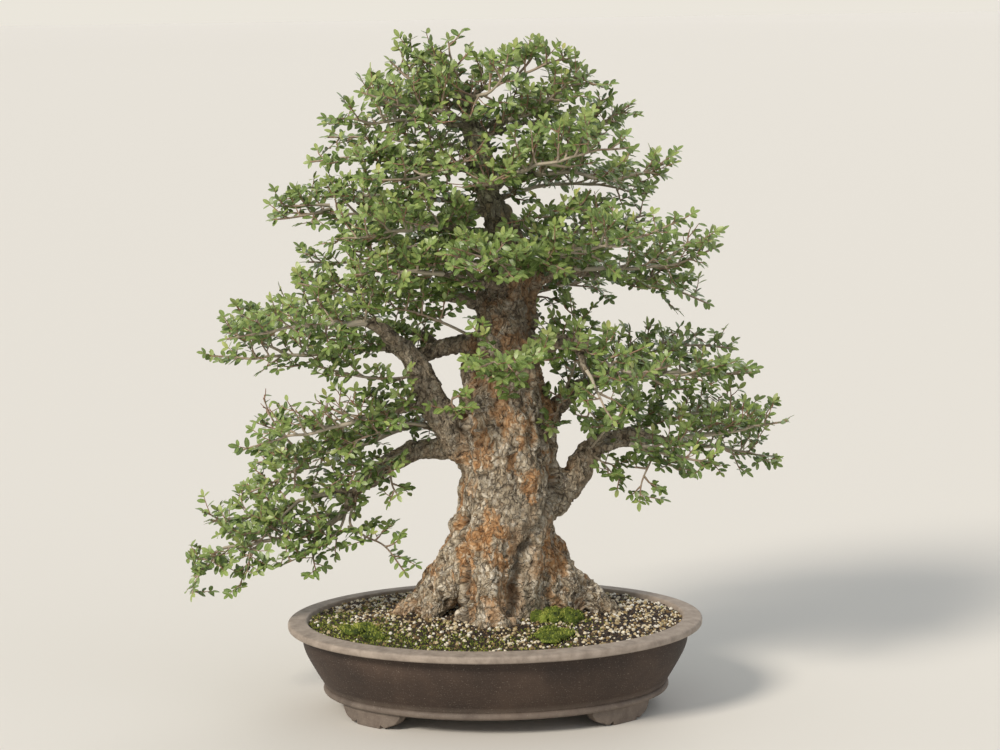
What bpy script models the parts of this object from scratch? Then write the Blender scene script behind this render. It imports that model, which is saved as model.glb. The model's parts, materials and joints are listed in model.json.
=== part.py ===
"""Chinese elm bonsai in a shallow oval clay pot, at its real size.

Metres, +Z up. The origin is on the ground under the middle of the pot. The front
of the tree faces -Y, and +X is to the right. Routes of roots, limbs and sprays are
lists of places in millimetres, chosen by hand along each piece of wood.
"""

import math
import random

import bmesh
import bpy
from mathutils import Matrix, Vector, noise
from mathutils.bvhtree import BVHTree

MM = 0.001
GAP = 0.0003                 # between pieces that touch
CUT_MARGIN = 0.0004          # how much a socket is larger than what stands in it
WELD = 0.000001

# Pot: an oval rim 460 by 354 mm. Radii below are those of its short side.
RIM_HALF_LENGTH = 0.230
RIM_HALF_DEPTH = 0.177
POT_STEPS = 28
POT_FLOOR = 0.026
POT_UNDERSIDE = 0.0175
RIM_INNER_RADIUS = 0.1535
RIM_TOP = 0.0998
HOLE_RADIUS = 0.012
HOLE_X = 0.085
SCREEN_SIDE = 0.036
SCREEN_THICKNESS = 0.001
FOOT_ANGLE = 0.72            # radians from the long axis
FOOT_HALF_ANGLE = 0.26
FOOT_SUNK = 0.003            # how far a foot reaches up into the belt
FOOT_RISE = 0.0125           # of a foot's lower edge at its ends
LOBE_RISE = 0.0022
NOTCH_RISE = 0.0035
FOOT_OUTER_RADIUS = 0.1335
FOOT_INNER_RADIUS = 0.1190

# Soil: a low mound, highest round the trunk.
SOIL_EDGE_TOP = 0.0962
SOIL_RISE = 0.011
SOIL_RELIEF = 0.0016
SOIL_INSET = 0.0004          # of the soil's top edge from the wall
SOIL_EDGE_DROP = 0.003

# Wood
TRUNK_VOXEL = 0.0065
TRUNK_FACES = 950
THICK_LIMB = 7               # mm; thinner limbs are drawn with fewer sides and places

# Leaf shoots: five leaves in two ranks and one at the end, on a thin rib.
LEAF_LENGTH = 0.0155
LEAF_HALF_WIDTH = 0.0043
LEAF_PITCH = 0.0058
LEAF_SPLAY = math.radians(52)
LEAVES_ON_SHOOT = 5
RIB_HALF_WIDTH = 0.0008
BLADE_THICKNESS = 0.0008
SHOOT_ROOT = 0.012           # how far the rib is sunk into its clump
SHOOT_STAND = 0.005          # from the clump's surface to the first leaf
SHOOT_CLEARANCE = 0.0012
CANDIDATES = 40              # placements tried on each spray
SHOOT_LENGTH = LEAF_PITCH * (LEAVES_ON_SHOOT - 1) + LEAF_LENGTH
ARCH_ALONG = 5.0             # how strongly a shoot bends down, per metre squared
ARCH_ACROSS = 7.0

# Clumps: the dense inside of each spray, flattened, which the shoots stand out of
CLUMP_SIDES = 5
CLUMP_HALF_WIDTH = 0.0120
CLUMP_HALF_HEIGHT = 0.0085
CLUMP_LUMPS = 0.9
SHOOT_SPACING = 0.076        # mean distance between shoots along a spray
CLUMP_FILL = 0.92            # of the limb's flat end that the clump's root covers
SHOOT_TURN = math.radians(100)
GOLDEN_SHARE = 0.618

# Moss: the foot of a cushion is flat, at a share of its height below the middle
MOSS_FOOT = -0.4
MOSS_SWELL = 0.22

# The trunk's centre line with its radius: x, y, z, radius
TRUNK_LINE = [
    (14, 4, 62, 44), (12, 6, 112, 52), (11, 6, 150, 54), (12, 6, 182, 56), (15, 4, 212, 56),
    (19, 4, 252, 55), (20, 4, 291, 53), (19, 2, 325, 47), (16, 0, 358, 40), (18, 0, 397, 35),
    (22, 0, 432, 31), (28, 0, 468, 26), (23, 0, 498, 23), (15, 0, 526, 19.5), (6, 0, 557, 16.5),
    (-2, 0, 587, 14), (-11, 0, 618, 12), (-18, 0, 646, 10), (-25, 0, 674, 8.5),
]
ROOTS = {
    "front": [
        (-4, -12, 234, 24), (-7, -26, 195, 27), (-8, -35, 151, 27), (-9, -43, 116, 25), (-8, -52, 84, 15)],
    "left": [(-10, 0, 232, 26), (-30, 0, 182, 25), (-56, 0, 142, 21), (-88, 0, 112, 15), (-124, 0, 88, 8)],
    "left_front": [(-14, -8, 214, 22), (-36, -14, 162, 19), (-58, -18, 122, 14), (-82, -22, 90, 8)],
    "right": [(40, 0, 226, 20), (50, 0, 181, 20), (82, 0, 136, 18), (116, 2, 110, 13), (150, 4, 88, 7)],
    "right_front": [(38, -8, 189, 20), (54, -10, 146, 18), (74, -12, 118, 13), (98, -16, 90, 8)],
    "back": [(20, 20, 215, 26), (22, 45, 170, 26), (26, 70, 130, 20), (34, 96, 88, 9)],
    "back_left": [(-14, 22, 205, 22), (-36, 44, 160, 20), (-56, 64, 122, 13), (-78, 84, 88, 8)],
    "back_right": [(48, 18, 205, 20), (66, 36, 158, 18), (84, 54, 120, 12), (106, 74, 88, 7)],
}
# Burls and old wound lips on the trunk: x, y, z, radius
BURLS = [
    (-10, -22, 345, 23), (34, -22, 372, 20), (4, -26, 402, 19), (-12, -6, 372, 22), (40, -14, 330, 22),
    (-18, -14, 300, 24), (40, 6, 440, 15), (2, -14, 436, 19), (22, 26, 366, 22), (-16, 24, 322, 24),
    (46, 10, 262, 20), (40, 30, 296, 24), (30, -10, 470, 15), (42, -10, 225, 20),
]

# Each limb and the spray that it carries: radius at its root and at the flat end
# where the spray sits, the number of places that are bare wood, and its route.
LIMBS = {
    "low_left_drop": (11, 3.6, 5, [
        (-38, -2, 292), (-89, 15, 283), (-120, 20, 265), (-146, 20, 244), (-164, 20, 217),
        (-193, 18, 196), (-232, 10, 188), (-270, 0, 186), (-306, -6, 178), (-327, -8, 152),
        (-337, -8, 122)]),
    "low_left_rise": (4, 3, 2, [
        (-150, 20, 238), (-183, 42, 233), (-214, 57, 223), (-247, 62, 210), (-287, 64, 204),
        (-330, 58, 196)]),
    "low_left_front": (6, 3.4, 3, [
        (-68, -14, 345), (-97, -32, 339), (-130, -46, 335), (-158, -56, 326), (-190, -62, 320),
        (-223, -64, 313), (-285, -58, 297)]),
    "low_left_back": (6, 3.2, 3, [
        (-40, -6, 302), (-72, 18, 312), (-101, 38, 306), (-140, 56, 287), (-178, 68, 274), (-218, 72, 266),
        (-280, 66, 264)]),
    "left_main": (10, 4, 4, [
        (-8, 0, 405), (-54, 8, 400), (-87, 14, 393), (-116, 12, 400), (-149, 6, 400), (-182, 0, 397),
        (-220, -4, 395), (-263, -6, 394), (-319, -8, 397)]),
    "left_front": (17, 4, 7, [
        (-20, -4, 275), (-46, -12, 312), (-67, -14, 345), (-80, -18, 377), (-93, -26, 402), (-110, -44, 423),
        (-133, -64, 437), (-161, -84, 440), (-192, -100, 439), (-229, -108, 435), (-290, -104, 425)]),
    "left_back": (6, 3.4, 3, [
        (-54, 10, 400), (-84, 36, 412), (-116, 58, 420), (-158, 82, 425), (-204, 98, 429), (-249, 102, 430),
        (-293, 96, 426)]),
    "left_upper_main": (10, 3.6, 3, [
        (8, 0, 446), (-24, -8, 455), (-59, -14, 460), (-93, -20, 459), (-130, -26, 464), (-167, -30, 469),
        (-217, -28, 479)]),
    "left_upper_front": (6, 3.2, 3, [
        (11, -12, 470), (-21, -50, 479), (-49, -80, 490), (-79, -104, 496), (-112, -118, 497),
        (-150, -126, 494)]),
    "left_upper_back": (6, 3.2, 3, [
        (9, 12, 470), (-22, 50, 478), (-60, 84, 484), (-106, 108, 486), (-158, 120, 485), (-215, 114, 486)]),
    "left_high_main": (7, 3.4, 3, [
        (9, 0, 518), (-27, -4, 527), (-57, -10, 539), (-91, -15, 547), (-125, -20, 553), (-162, -22, 550),
        (-233, -22, 554)]),
    "left_high_front": (5, 3, 3, [
        (5, -8, 526), (-24, -46, 534), (-50, -76, 539), (-85, -96, 539), (-119, -106, 535),
        (-171, -108, 530)]),
    "left_high_back": (5, 3, 3, [
        (3, 8, 543), (-27, 46, 552), (-61, 74, 558), (-104, 94, 561), (-150, 102, 560), (-218, 96, 561)]),
    "left_crown_main": (6, 3, 2, [
        (-3, 0, 590), (-38, -3, 600), (-67, -10, 606), (-99, -15, 612), (-134, -20, 613), (-206, -20, 605)]),
    "left_crown_front": (4.5, 2.8, 2, [
        (-5, -4, 597), (-32, -40, 597), (-59, -64, 593), (-91, -82, 592), (-150, -88, 591)]),
    "left_crown_back": (4.5, 2.8, 2, [
        (-7, 4, 611), (-40, 38, 619), (-75, 62, 623), (-114, 76, 626), (-190, 76, 629)]),
    "left_peak_main": (4.5, 2.6, 2, [
        (-14, 0, 639), (-46, -4, 647), (-77, -10, 652), (-109, -14, 648), (-145, -16, 652),
        (-178, -14, 649)]),
    "left_peak_front": (4, 2.6, 2, [
        (-17, -2, 650), (-40, -32, 656), (-63, -50, 661), (-90, -61, 668), (-147, -64, 686)]),
    "left_peak_back": (4, 2.6, 2, [
        (-20, 2, 659), (-46, 30, 669), (-74, 48, 675), (-104, 57, 682), (-133, 60, 698)]),
    "apex_left": (4, 2.4, 2, [(-24, 0, 668), (-50, 1, 680), (-70, 6, 687), (-92, 10, 700), (-111, 12, 720)]),
    "apex_top": (5, 2.4, 2, [(-25, 0, 670), (-31, 0, 692), (-38, -4, 715), (-42, -4, 745)]),
    "apex_right": (4, 2.4, 2, [
        (-22, 0, 670), (-3, -4, 683), (16, -8, 691), (35, -10, 700), (49, -10, 716), (58, -10, 735)]),
    "apex_front": (3.6, 2.4, 2, [
        (-23, -2, 668), (-10, -30, 675), (4, -50, 681), (17, -60, 698), (26, -62, 732)]),
    "right_peak_main": (4.5, 2.6, 3, [
        (-9, 0, 614), (4, -2, 633), (23, -10, 648), (46, -16, 654), (64, -20, 668), (81, -22, 682),
        (110, -22, 702)]),
    "right_peak_low": (3.6, 2.4, 2, [
        (5, -1, 634), (42, 9, 644), (76, 14, 639), (111, 16, 639), (132, 16, 646), (162, 16, 667)]),
    "right_peak_back": (4, 2.6, 2, [
        (-12, 4, 634), (11, 38, 646), (38, 58, 655), (69, 69, 661), (120, 69, 677)]),
    "right_crown_main": (6, 3, 3, [
        (0, 0, 575), (28, -4, 583), (57, -10, 590), (89, -12, 591), (123, -12, 585), (159, -12, 587),
        (207, -12, 606)]),
    "right_crown_front": (4.5, 2.8, 2, [
        (0, -6, 584), (26, -46, 593), (52, -73, 602), (82, -90, 611), (114, -97, 618), (160, -98, 622)]),
    "right_crown_back": (4.5, 2.8, 2, [
        (2, 6, 560), (34, 47, 567), (64, 74, 572), (102, 92, 569), (141, 98, 565), (180, 94, 556)]),
    "right_main": (10, 3.6, 3, [
        (28, 0, 463), (60, -2, 481), (92, -2, 486), (127, -2, 483), (165, -2, 485), (203, -4, 490),
        (256, -4, 511)]),
    "right_droop": (5, 2.8, 2, [
        (72, 0, 483), (121, 22, 476), (159, 31, 470), (192, 36, 461), (254, 38, 435)]),
    "right_front": (5, 3, 2, [
        (24, -10, 493), (58, -55, 502), (85, -84, 512), (118, -106, 520), (154, -116, 528),
        (206, -112, 548)]),
    "right_back": (5, 3, 2, [(20, 10, 505), (58, 55, 511), (92, 86, 517), (131, 108, 520), (188, 116, 537)]),
    "low_right_white": (8, 3.4, 4, [
        (26, -14, 392), (61, -54, 409), (91, -76, 414), (111, -90, 402), (133, -100, 388), (159, -108, 386),
        (203, -110, 396)]),
    "low_right_hang": (4, 2.8, 2, [
        (90, -75, 413), (101, -106, 388), (107, -120, 372), (116, -132, 356), (132, -138, 331)]),
    "low_right_main": (11, 3.8, 4, [
        (38, 10, 285), (71, 28, 329), (94, 32, 348), (127, 30, 360), (166, 24, 364), (210, 20, 367),
        (250, 18, 365), (296, 16, 366)]),
    "low_right_back": (5, 3, 2, [
        (108, 31, 354), (148, 64, 371), (184, 83, 381), (222, 94, 388), (284, 94, 381)]),
    "lowest_right_main": (16, 4, 7, [
        (38, 0, 200), (77, 6, 238), (96, 12, 262), (110, 14, 282), (129, 14, 294), (164, 14, 295),
        (203, 14, 292), (242, 14, 298), (280, 14, 304), (338, 14, 313)]),
    "lowest_right_front": (5, 3.2, 2, [
        (112, 12, 285), (150, -32, 296), (179, -54, 293), (211, -64, 286), (243, -66, 279)]),
    "lowest_right_tip": (3.4, 2.6, 2, [
        (176, 14, 294), (210, 42, 285), (248, 50, 278), (286, 50, 271), (326, 46, 264)]),
    "lowest_right_back": (5, 3.2, 2, [
        (124, 14, 292), (155, 64, 296), (192, 90, 301), (236, 102, 307), (308, 100, 315)]),
    "front_low": (4.5, 2.8, 2, [
        (21, -24, 397), (31, -66, 401), (28, -98, 400), (8, -134, 404), (-16, -180, 402)]),
    "front_mid": (4.5, 2.8, 2, [(22, -14, 488), (12, -70, 502), (0, -122, 509), (-28, -200, 506)]),
    "front_high": (4, 2.6, 2, [(0, -8, 572), (5, -54, 582), (1, -92, 588), (-14, -150, 590)]),
    "back_low": (7, 3.2, 2, [(22, 30, 300), (27, 96, 321), (24, 136, 323), (10, 201, 317)]),
    "back_middle": (6, 3, 2, [(21, 20, 405), (10, 88, 421), (6, 136, 422), (-1, 203, 416)]),
    "back_right": (5, 3, 2, [(30, 10, 446), (66, 74, 457), (95, 122, 458), (130, 182, 454)]),
    "back_left": (5, 3, 2, [(14, 12, 488), (-20, 72, 499), (-46, 118, 503), (-80, 182, 498)]),
}

# Moss cushions: centre x, y, half length, half depth, height, turn in degrees
MOSSES = {
    "moss_by_root": (66, -38, 34, 19, 12, -8),
    "moss_front": (62, -98, 20, 26, 5, 12),
    "moss_left": (-146, -60, 40, 17, 6, -52),
}


def clear_scene():
    for obj in list(bpy.data.objects):
        bpy.data.objects.remove(obj, do_unlink=True)


def add_collection(name):
    collection = bpy.data.collections.new(name)
    bpy.context.scene.collection.children.link(collection)
    return collection


clear_scene()
PARTS = add_collection("elm bonsai")
CUTTERS = add_collection("cutters")


def principled(name, colour, roughness):
    material = bpy.data.materials.new(name)
    material.use_nodes = True
    shader = material.node_tree.nodes["Principled BSDF"]
    shader.inputs["Base Color"].default_value = (*colour, 1.0)
    shader.inputs["Roughness"].default_value = roughness
    shader.inputs["Metallic"].default_value = 0.0
    material.diffuse_color = (*colour, 1.0)
    return material


def add_object(name, mesh, material=None, collection=PARTS):
    obj = bpy.data.objects.new(name, mesh)
    collection.objects.link(obj)
    if material:
        mesh.materials.clear()
        mesh.materials.append(material)
    if collection is not PARTS:
        obj.hide_render = True
        obj.display_type = "WIRE"
    return obj


def remove(objects):
    for obj in list(objects):
        bpy.data.objects.remove(obj, do_unlink=True)


def baked(obj):
    """A new mesh of the object as its modifiers leave it, in world space."""
    bpy.context.view_layer.update()
    graph = bpy.context.evaluated_depsgraph_get()
    mesh = bpy.data.meshes.new_from_object(obj.evaluated_get(graph))
    mesh.transform(obj.matrix_world)
    return mesh


def welded(mesh, distance=WELD):
    """Close the seams of a mesh and turn its faces outwards."""
    shape = bmesh.new()
    shape.from_mesh(mesh)
    bmesh.ops.remove_doubles(shape, verts=shape.verts, dist=distance)
    bmesh.ops.recalc_face_normals(shape, faces=shape.faces)
    shape.to_mesh(mesh)
    shape.free()
    return mesh


def shells(shape):
    """The connected shells of a bmesh, each a list of vertices."""
    left = set(shape.verts)
    found = []
    while left:
        shell = []
        edge = [left.pop()]
        while edge:
            vertex = edge.pop()
            shell.append(vertex)
            for link in vertex.link_edges:
                other = link.other_vert(vertex)
                if other in left:
                    left.remove(other)
                    edge.append(other)
        found.append(shell)
    return found


def main_body(mesh):
    """Keep the largest shell, without loose scraps and sealed hollows."""
    shape = bmesh.new()
    shape.from_mesh(mesh)
    bmesh.ops.dissolve_degenerate(shape, dist=WELD, edges=shape.edges)
    found = sorted(shells(shape), key=len)
    scraps = [vertex for shell in found[:-1] for vertex in shell]
    bmesh.ops.delete(shape, geom=scraps, context="VERTS")
    bmesh.ops.triangulate(shape, faces=shape.faces)
    shape.to_mesh(mesh)
    shape.free()
    return mesh


def joined(name, first, others, material):
    """One body from overlapping meshes, by a Boolean union on a collection."""
    group = add_collection(name + " pieces")
    for index, mesh in enumerate(others):
        add_object(f"{name} piece {index}", mesh, None, group)
    body = add_object(name, first, None)
    union = body.modifiers.new("union", "BOOLEAN")
    union.operation = "UNION"
    union.operand_type = "COLLECTION"
    union.collection = group
    result = main_body(baked(body))
    remove(group.objects)
    remove([body])
    bpy.data.collections.remove(group)
    return add_object(name, result, material)


def cut(obj, cutters):
    """Take cutters out of an object, one after the other, and apply the result."""
    for cutter in cutters:
        difference = obj.modifiers.new("cut", "BOOLEAN")
        difference.operation = "DIFFERENCE"
        difference.object = cutter
    result = main_body(baked(obj))
    materials = list(obj.data.materials)
    obj.modifiers.clear()
    obj.data = result
    result.materials.clear()
    for material in materials:
        result.materials.append(material)


def inflated(obj, margin=CUT_MARGIN):
    """A cutter like the object, but larger all round by the margin."""
    cutter = add_object(obj.name + " socket", obj.data.copy(), None, CUTTERS)
    grow = cutter.modifiers.new("grow", "DISPLACE")
    grow.strength = margin
    grow.mid_level = 0.0
    return cutter


def tube(name, places, level):
    """A closed tube through places (x, y, z, radius), all in millimetres."""
    curve = bpy.data.curves.new(name, "CURVE")
    curve.dimensions = "3D"
    curve.bevel_depth = MM
    curve.bevel_resolution = level
    curve.use_fill_caps = True
    spline = curve.splines.new("POLY")
    spline.points.add(len(places) - 1)
    for point, (x, y, z, radius) in zip(spline.points, places):
        point.co = (x * MM, y * MM, z * MM, 1.0)
        point.radius = radius
    obj = add_object(name, curve, None, CUTTERS)
    mesh = welded(baked(obj))
    remove([obj])
    return mesh


def smooth_line(places, count):
    """Places along a smooth curve through the given ones, ends included."""
    points = [Vector(place) for place in places]
    points = [2 * points[0] - points[1], *points, 2 * points[-1] - points[-2]]
    spans = len(points) - 3
    line = []
    for step in range(count):
        along = step / (count - 1) * spans
        span = min(int(along), spans - 1)
        t = along - span
        a, b, c, d = points[span:span + 4]
        line.append(0.5 * (2 * b + (c - a) * t + (2 * a - 5 * b + 4 * c - d) * t * t
                           + (3 * b - a - 3 * c + d) * t * t * t))
    return line


def turned_oval(name, profile, material):
    """Turn a profile (radius, height) and draw the round shape out to the pot's oval."""
    mesh = bpy.data.meshes.new(name)
    edges = [(index, index + 1) for index in range(len(profile) - 1)]
    mesh.from_pydata([(radius, 0.0, height) for radius, height in profile], edges, [])
    obj = add_object(name, mesh, None)
    screw = obj.modifiers.new("turn", "SCREW")
    screw.steps = POT_STEPS
    screw.render_steps = POT_STEPS
    screw.use_merge_vertices = True
    screw.merge_threshold = 0.00001
    result = welded(baked(obj), 0.00001)
    remove([obj])
    for vertex in result.vertices:
        radius = math.hypot(vertex.co.x, vertex.co.y)
        if radius > HOLE_RADIUS:
            vertex.co.x += (RIM_HALF_LENGTH - RIM_HALF_DEPTH) * vertex.co.x / radius
    return add_object(name, result, material)


def pot_profile():
    """From the middle of the inner floor up over the rim and down to the underside."""
    return [
        (0.0, POT_FLOOR), (0.130, POT_FLOOR), (0.1435, 0.051), (RIM_INNER_RADIUS, 0.0915),
        (0.1560, RIM_TOP), (0.1755, 0.0984), (RIM_HALF_DEPTH, 0.0965), (0.1765, 0.0912),
        (0.1618, 0.0884), (0.1595, 0.070), (0.1507, 0.051), (0.1362, 0.0262),
        (0.1386, 0.0226), (0.1362, 0.0190), (0.1325, POT_UNDERSIDE), (0.0, POT_UNDERSIDE),
    ]


def oval_point(radius, angle, height):
    """A place on the pot's oval, for a radius of its short side."""
    stretched = radius + RIM_HALF_LENGTH - RIM_HALF_DEPTH
    return Vector((stretched * math.cos(angle), radius * math.sin(angle), height))


def foot_edge(across):
    """Height of a cloud foot's lower edge, from -1 at one end to 1 at the other."""
    reach = abs(across)
    if reach < 0.42:
        return 0.0
    if reach < 0.5:
        return NOTCH_RISE
    if reach < 0.8:
        return LOBE_RISE
    return LOBE_RISE + (reach - 0.8) / 0.2 * FOOT_RISE


def foot_mesh(middle):
    """A cloud foot that follows the oval, as a loft of upright sections."""
    stations = [-1, -0.9, -0.78, -0.62, -0.46, -0.36, 0, 0.36, 0.46, 0.62, 0.78, 0.9, 1]
    shape = bmesh.new()
    sections = []
    for across in stations:
        angle = middle + across * FOOT_HALF_ANGLE
        low = foot_edge(across)
        ring = [
            oval_point(FOOT_OUTER_RADIUS, angle, POT_UNDERSIDE + FOOT_SUNK),
            oval_point(FOOT_OUTER_RADIUS, angle, low),
            oval_point(FOOT_INNER_RADIUS, angle, low),
            oval_point(FOOT_INNER_RADIUS, angle, POT_UNDERSIDE + FOOT_SUNK),
        ]
        sections.append([shape.verts.new(place) for place in ring])
    for one, two in zip(sections, sections[1:]):
        for side in range(4):
            after = (side + 1) % 4
            shape.faces.new((one[side], one[after], two[after], two[side]))
    shape.faces.new(sections[0])
    shape.faces.new(reversed(sections[-1]))
    bmesh.ops.recalc_face_normals(shape, faces=shape.faces)
    mesh = bpy.data.meshes.new("foot")
    shape.to_mesh(mesh)
    shape.free()
    return mesh


def drain_cutter(x):
    """A round cutter for one drainage hole."""
    shape = bmesh.new()
    bmesh.ops.create_cone(shape, cap_ends=True, segments=16, radius1=HOLE_RADIUS, radius2=HOLE_RADIUS,
                          depth=0.03, matrix=Matrix.Translation((x, 0.0, POT_FLOOR)))
    mesh = bpy.data.meshes.new("drain")
    shape.to_mesh(mesh)
    shape.free()
    return add_object("drain cutter", mesh, None, CUTTERS)


def make_pot(material):
    body = turned_oval("pot body", pot_profile(), None)
    mesh = body.data
    remove([body])
    angles = [FOOT_ANGLE, math.pi - FOOT_ANGLE, math.pi + FOOT_ANGLE, -FOOT_ANGLE]
    pot = joined("pot", mesh, [foot_mesh(angle) for angle in angles], material)
    drains = [drain_cutter(HOLE_X), drain_cutter(-HOLE_X)]
    cut(pot, drains)
    remove(drains)
    return pot


def make_screen(name, x, material, collection=PARTS, margin=0.0):
    """A thin plastic mesh plate over a drainage hole, as one flat plate."""
    side = SCREEN_SIDE + 2 * margin
    height = SCREEN_THICKNESS + 2 * margin
    middle = POT_FLOOR + GAP + SCREEN_THICKNESS / 2
    shape = bmesh.new()
    bmesh.ops.create_cube(shape, size=1.0)
    bmesh.ops.scale(shape, vec=(side, side, height), verts=shape.verts)
    bmesh.ops.translate(shape, vec=(x, 0.0, middle), verts=shape.verts)
    mesh = bpy.data.meshes.new(name)
    shape.to_mesh(mesh)
    shape.free()
    return add_object(name, mesh, material, collection)


def soil_height(x, y):
    """Height of the soil's surface: a low mound with small lumps."""
    reach = math.hypot(x / (RIM_HALF_LENGTH - 0.024), y / RIM_INNER_RADIUS)
    mound = SOIL_EDGE_TOP + SOIL_RISE * max(0.0, 1 - reach * reach)
    return mound + SOIL_RELIEF * noise.noise(Vector((x, y, 0.0)) * 38)


def make_soil(material):
    wall = [(radius - GAP, height + GAP) for radius, height in pot_profile()[1:4]]
    top = [(radius, SOIL_EDGE_TOP) for radius in (0.0, 0.03, 0.070, 0.110)]
    edge = [(RIM_INNER_RADIUS - GAP - SOIL_INSET, SOIL_EDGE_TOP - SOIL_EDGE_DROP)]
    profile = top + edge + list(reversed(wall[:-1])) + [(0.0, POT_FLOOR + GAP)]
    soil = turned_oval("soil", profile, material)
    for vertex in soil.data.vertices:
        if abs(vertex.co.z - SOIL_EDGE_TOP) < WELD:
            vertex.co.z = soil_height(vertex.co.x, vertex.co.y)
    main_body(soil.data)
    return soil


def make_moss(name, x, y, half_length, half_depth, height, turn, material):
    """A low cushion with a lumpy top, its foot set a little way into the soil."""
    shape = bmesh.new()
    bmesh.ops.create_uvsphere(shape, u_segments=9, v_segments=5, radius=1.0)
    bmesh.ops.bisect_plane(shape, geom=shape.verts[:] + shape.edges[:] + shape.faces[:],
                           plane_co=(0, 0, MOSS_FOOT), plane_no=(0, 0, -1), clear_outer=True)
    bmesh.ops.holes_fill(shape, edges=[edge for edge in shape.edges if edge.is_boundary])
    place = Matrix.Rotation(math.radians(turn), 4, "Z")
    base = soil_height(x * MM, y * MM)
    for vertex in shape.verts:
        swell = 1 + MOSS_SWELL * noise.noise(vertex.co * 1.7 + Vector((x, y, 0.0)))
        vertex.co = Vector((vertex.co.x * half_length * MM * swell, vertex.co.y * half_depth * MM * swell,
                            vertex.co.z * height * MM))
        vertex.co = place @ vertex.co + Vector((x * MM, y * MM, base))
    bmesh.ops.recalc_face_normals(shape, faces=shape.faces)
    bmesh.ops.triangulate(shape, faces=shape.faces)
    mesh = bpy.data.meshes.new(name)
    shape.to_mesh(mesh)
    shape.free()
    return add_object(name, mesh, material)


def trunk_body():
    """Trunk, roots and burls, grown together by a voxel remesh."""
    shape = bmesh.new()
    for places in [TRUNK_LINE, *ROOTS.values()]:
        line = smooth_line([place[:3] for place in places], len(places) * 2 - 1)
        radii = smooth_line([(place[3], 0, 0) for place in places], len(places) * 2 - 1)
        mesh = tube("wood", [(*place, radius.x) for place, radius in zip(line, radii)], 3)
        shape.from_mesh(mesh)
    for x, y, z, radius in BURLS:
        place = Matrix.Translation(Vector((x, y, z)) * MM)
        bmesh.ops.create_icosphere(shape, subdivisions=2, radius=radius * MM, matrix=place)
    mesh = bpy.data.meshes.new("trunk body")
    shape.to_mesh(mesh)
    shape.free()
    obj = add_object("trunk body", mesh, None, CUTTERS)
    remesh = obj.modifiers.new("grow together", "REMESH")
    remesh.mode = "VOXEL"
    remesh.voxel_size = TRUNK_VOXEL
    ease = obj.modifiers.new("ease", "SMOOTH")
    ease.iterations = 2
    thin = obj.modifiers.new("thin", "DECIMATE")
    bpy.context.view_layer.update()
    count = len(baked(obj).polygons)
    thin.ratio = min(1.0, TRUNK_FACES / (2 * count))
    body = main_body(baked(obj))
    remove([obj])
    return body


def wood_places(name):
    """The bare wood of a limb as places with radii, ending flat where its spray sits."""
    root, end, count, route = LIMBS[name]
    line = smooth_line(route[:count + 1], 2 * count + 1)[:2 * count - 1]
    if root <= THICK_LIMB:
        line = line[::2]
    last = len(line) - 1
    return [(*place, root + (end - root) * (index / last) ** 0.8) for index, place in enumerate(line)]


def make_trunk(material):
    """The trunk with its roots and all bare limbs, as one grown piece."""
    limbs = [tube(name, wood_places(name), 1 if LIMBS[name][0] > THICK_LIMB else 0) for name in LIMBS]
    return joined("trunk", trunk_body(), limbs, material)


def leafy_line(name, count=41):
    """The spray's centre line in metres, from the limb's flat end to the furthest tip."""
    _, _, bare, route = LIMBS[name]
    places = wood_places(name)
    end = Vector(places[-1][:3])
    facing = (end - Vector(places[-2][:3])).normalized()
    line = smooth_line([end + facing * (GAP / MM), *route[bare:]], count)
    return [place * MM for place in line], facing


def level_side(line):
    """A level direction square to the whole run of a line."""
    run = (line[-1] - line[0]).normalized()
    up = Vector((0, 0, 1)) if abs(run.z) < 0.85 else Vector((0, 1, 0))
    return up.cross(run).normalized()


def side_and_rise(along, level):
    """Two directions square to a direction: as near level as it goes, and upwards."""
    side = (level - along * level.dot(along)).normalized()
    return side, along.cross(side).normalized()


def line_at(line, share):
    """Place and direction at a share of the way along a line."""
    along = share * (len(line) - 1)
    index = min(int(along), len(line) - 2)
    place = line[index].lerp(line[index + 1], along - index)
    low = max(index - 1, 0)
    return place, (line[min(index + 2, len(line) - 1)] - line[low]).normalized()


def line_length(line):
    return sum((b - a).length for a, b in zip(line, line[1:]))


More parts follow.
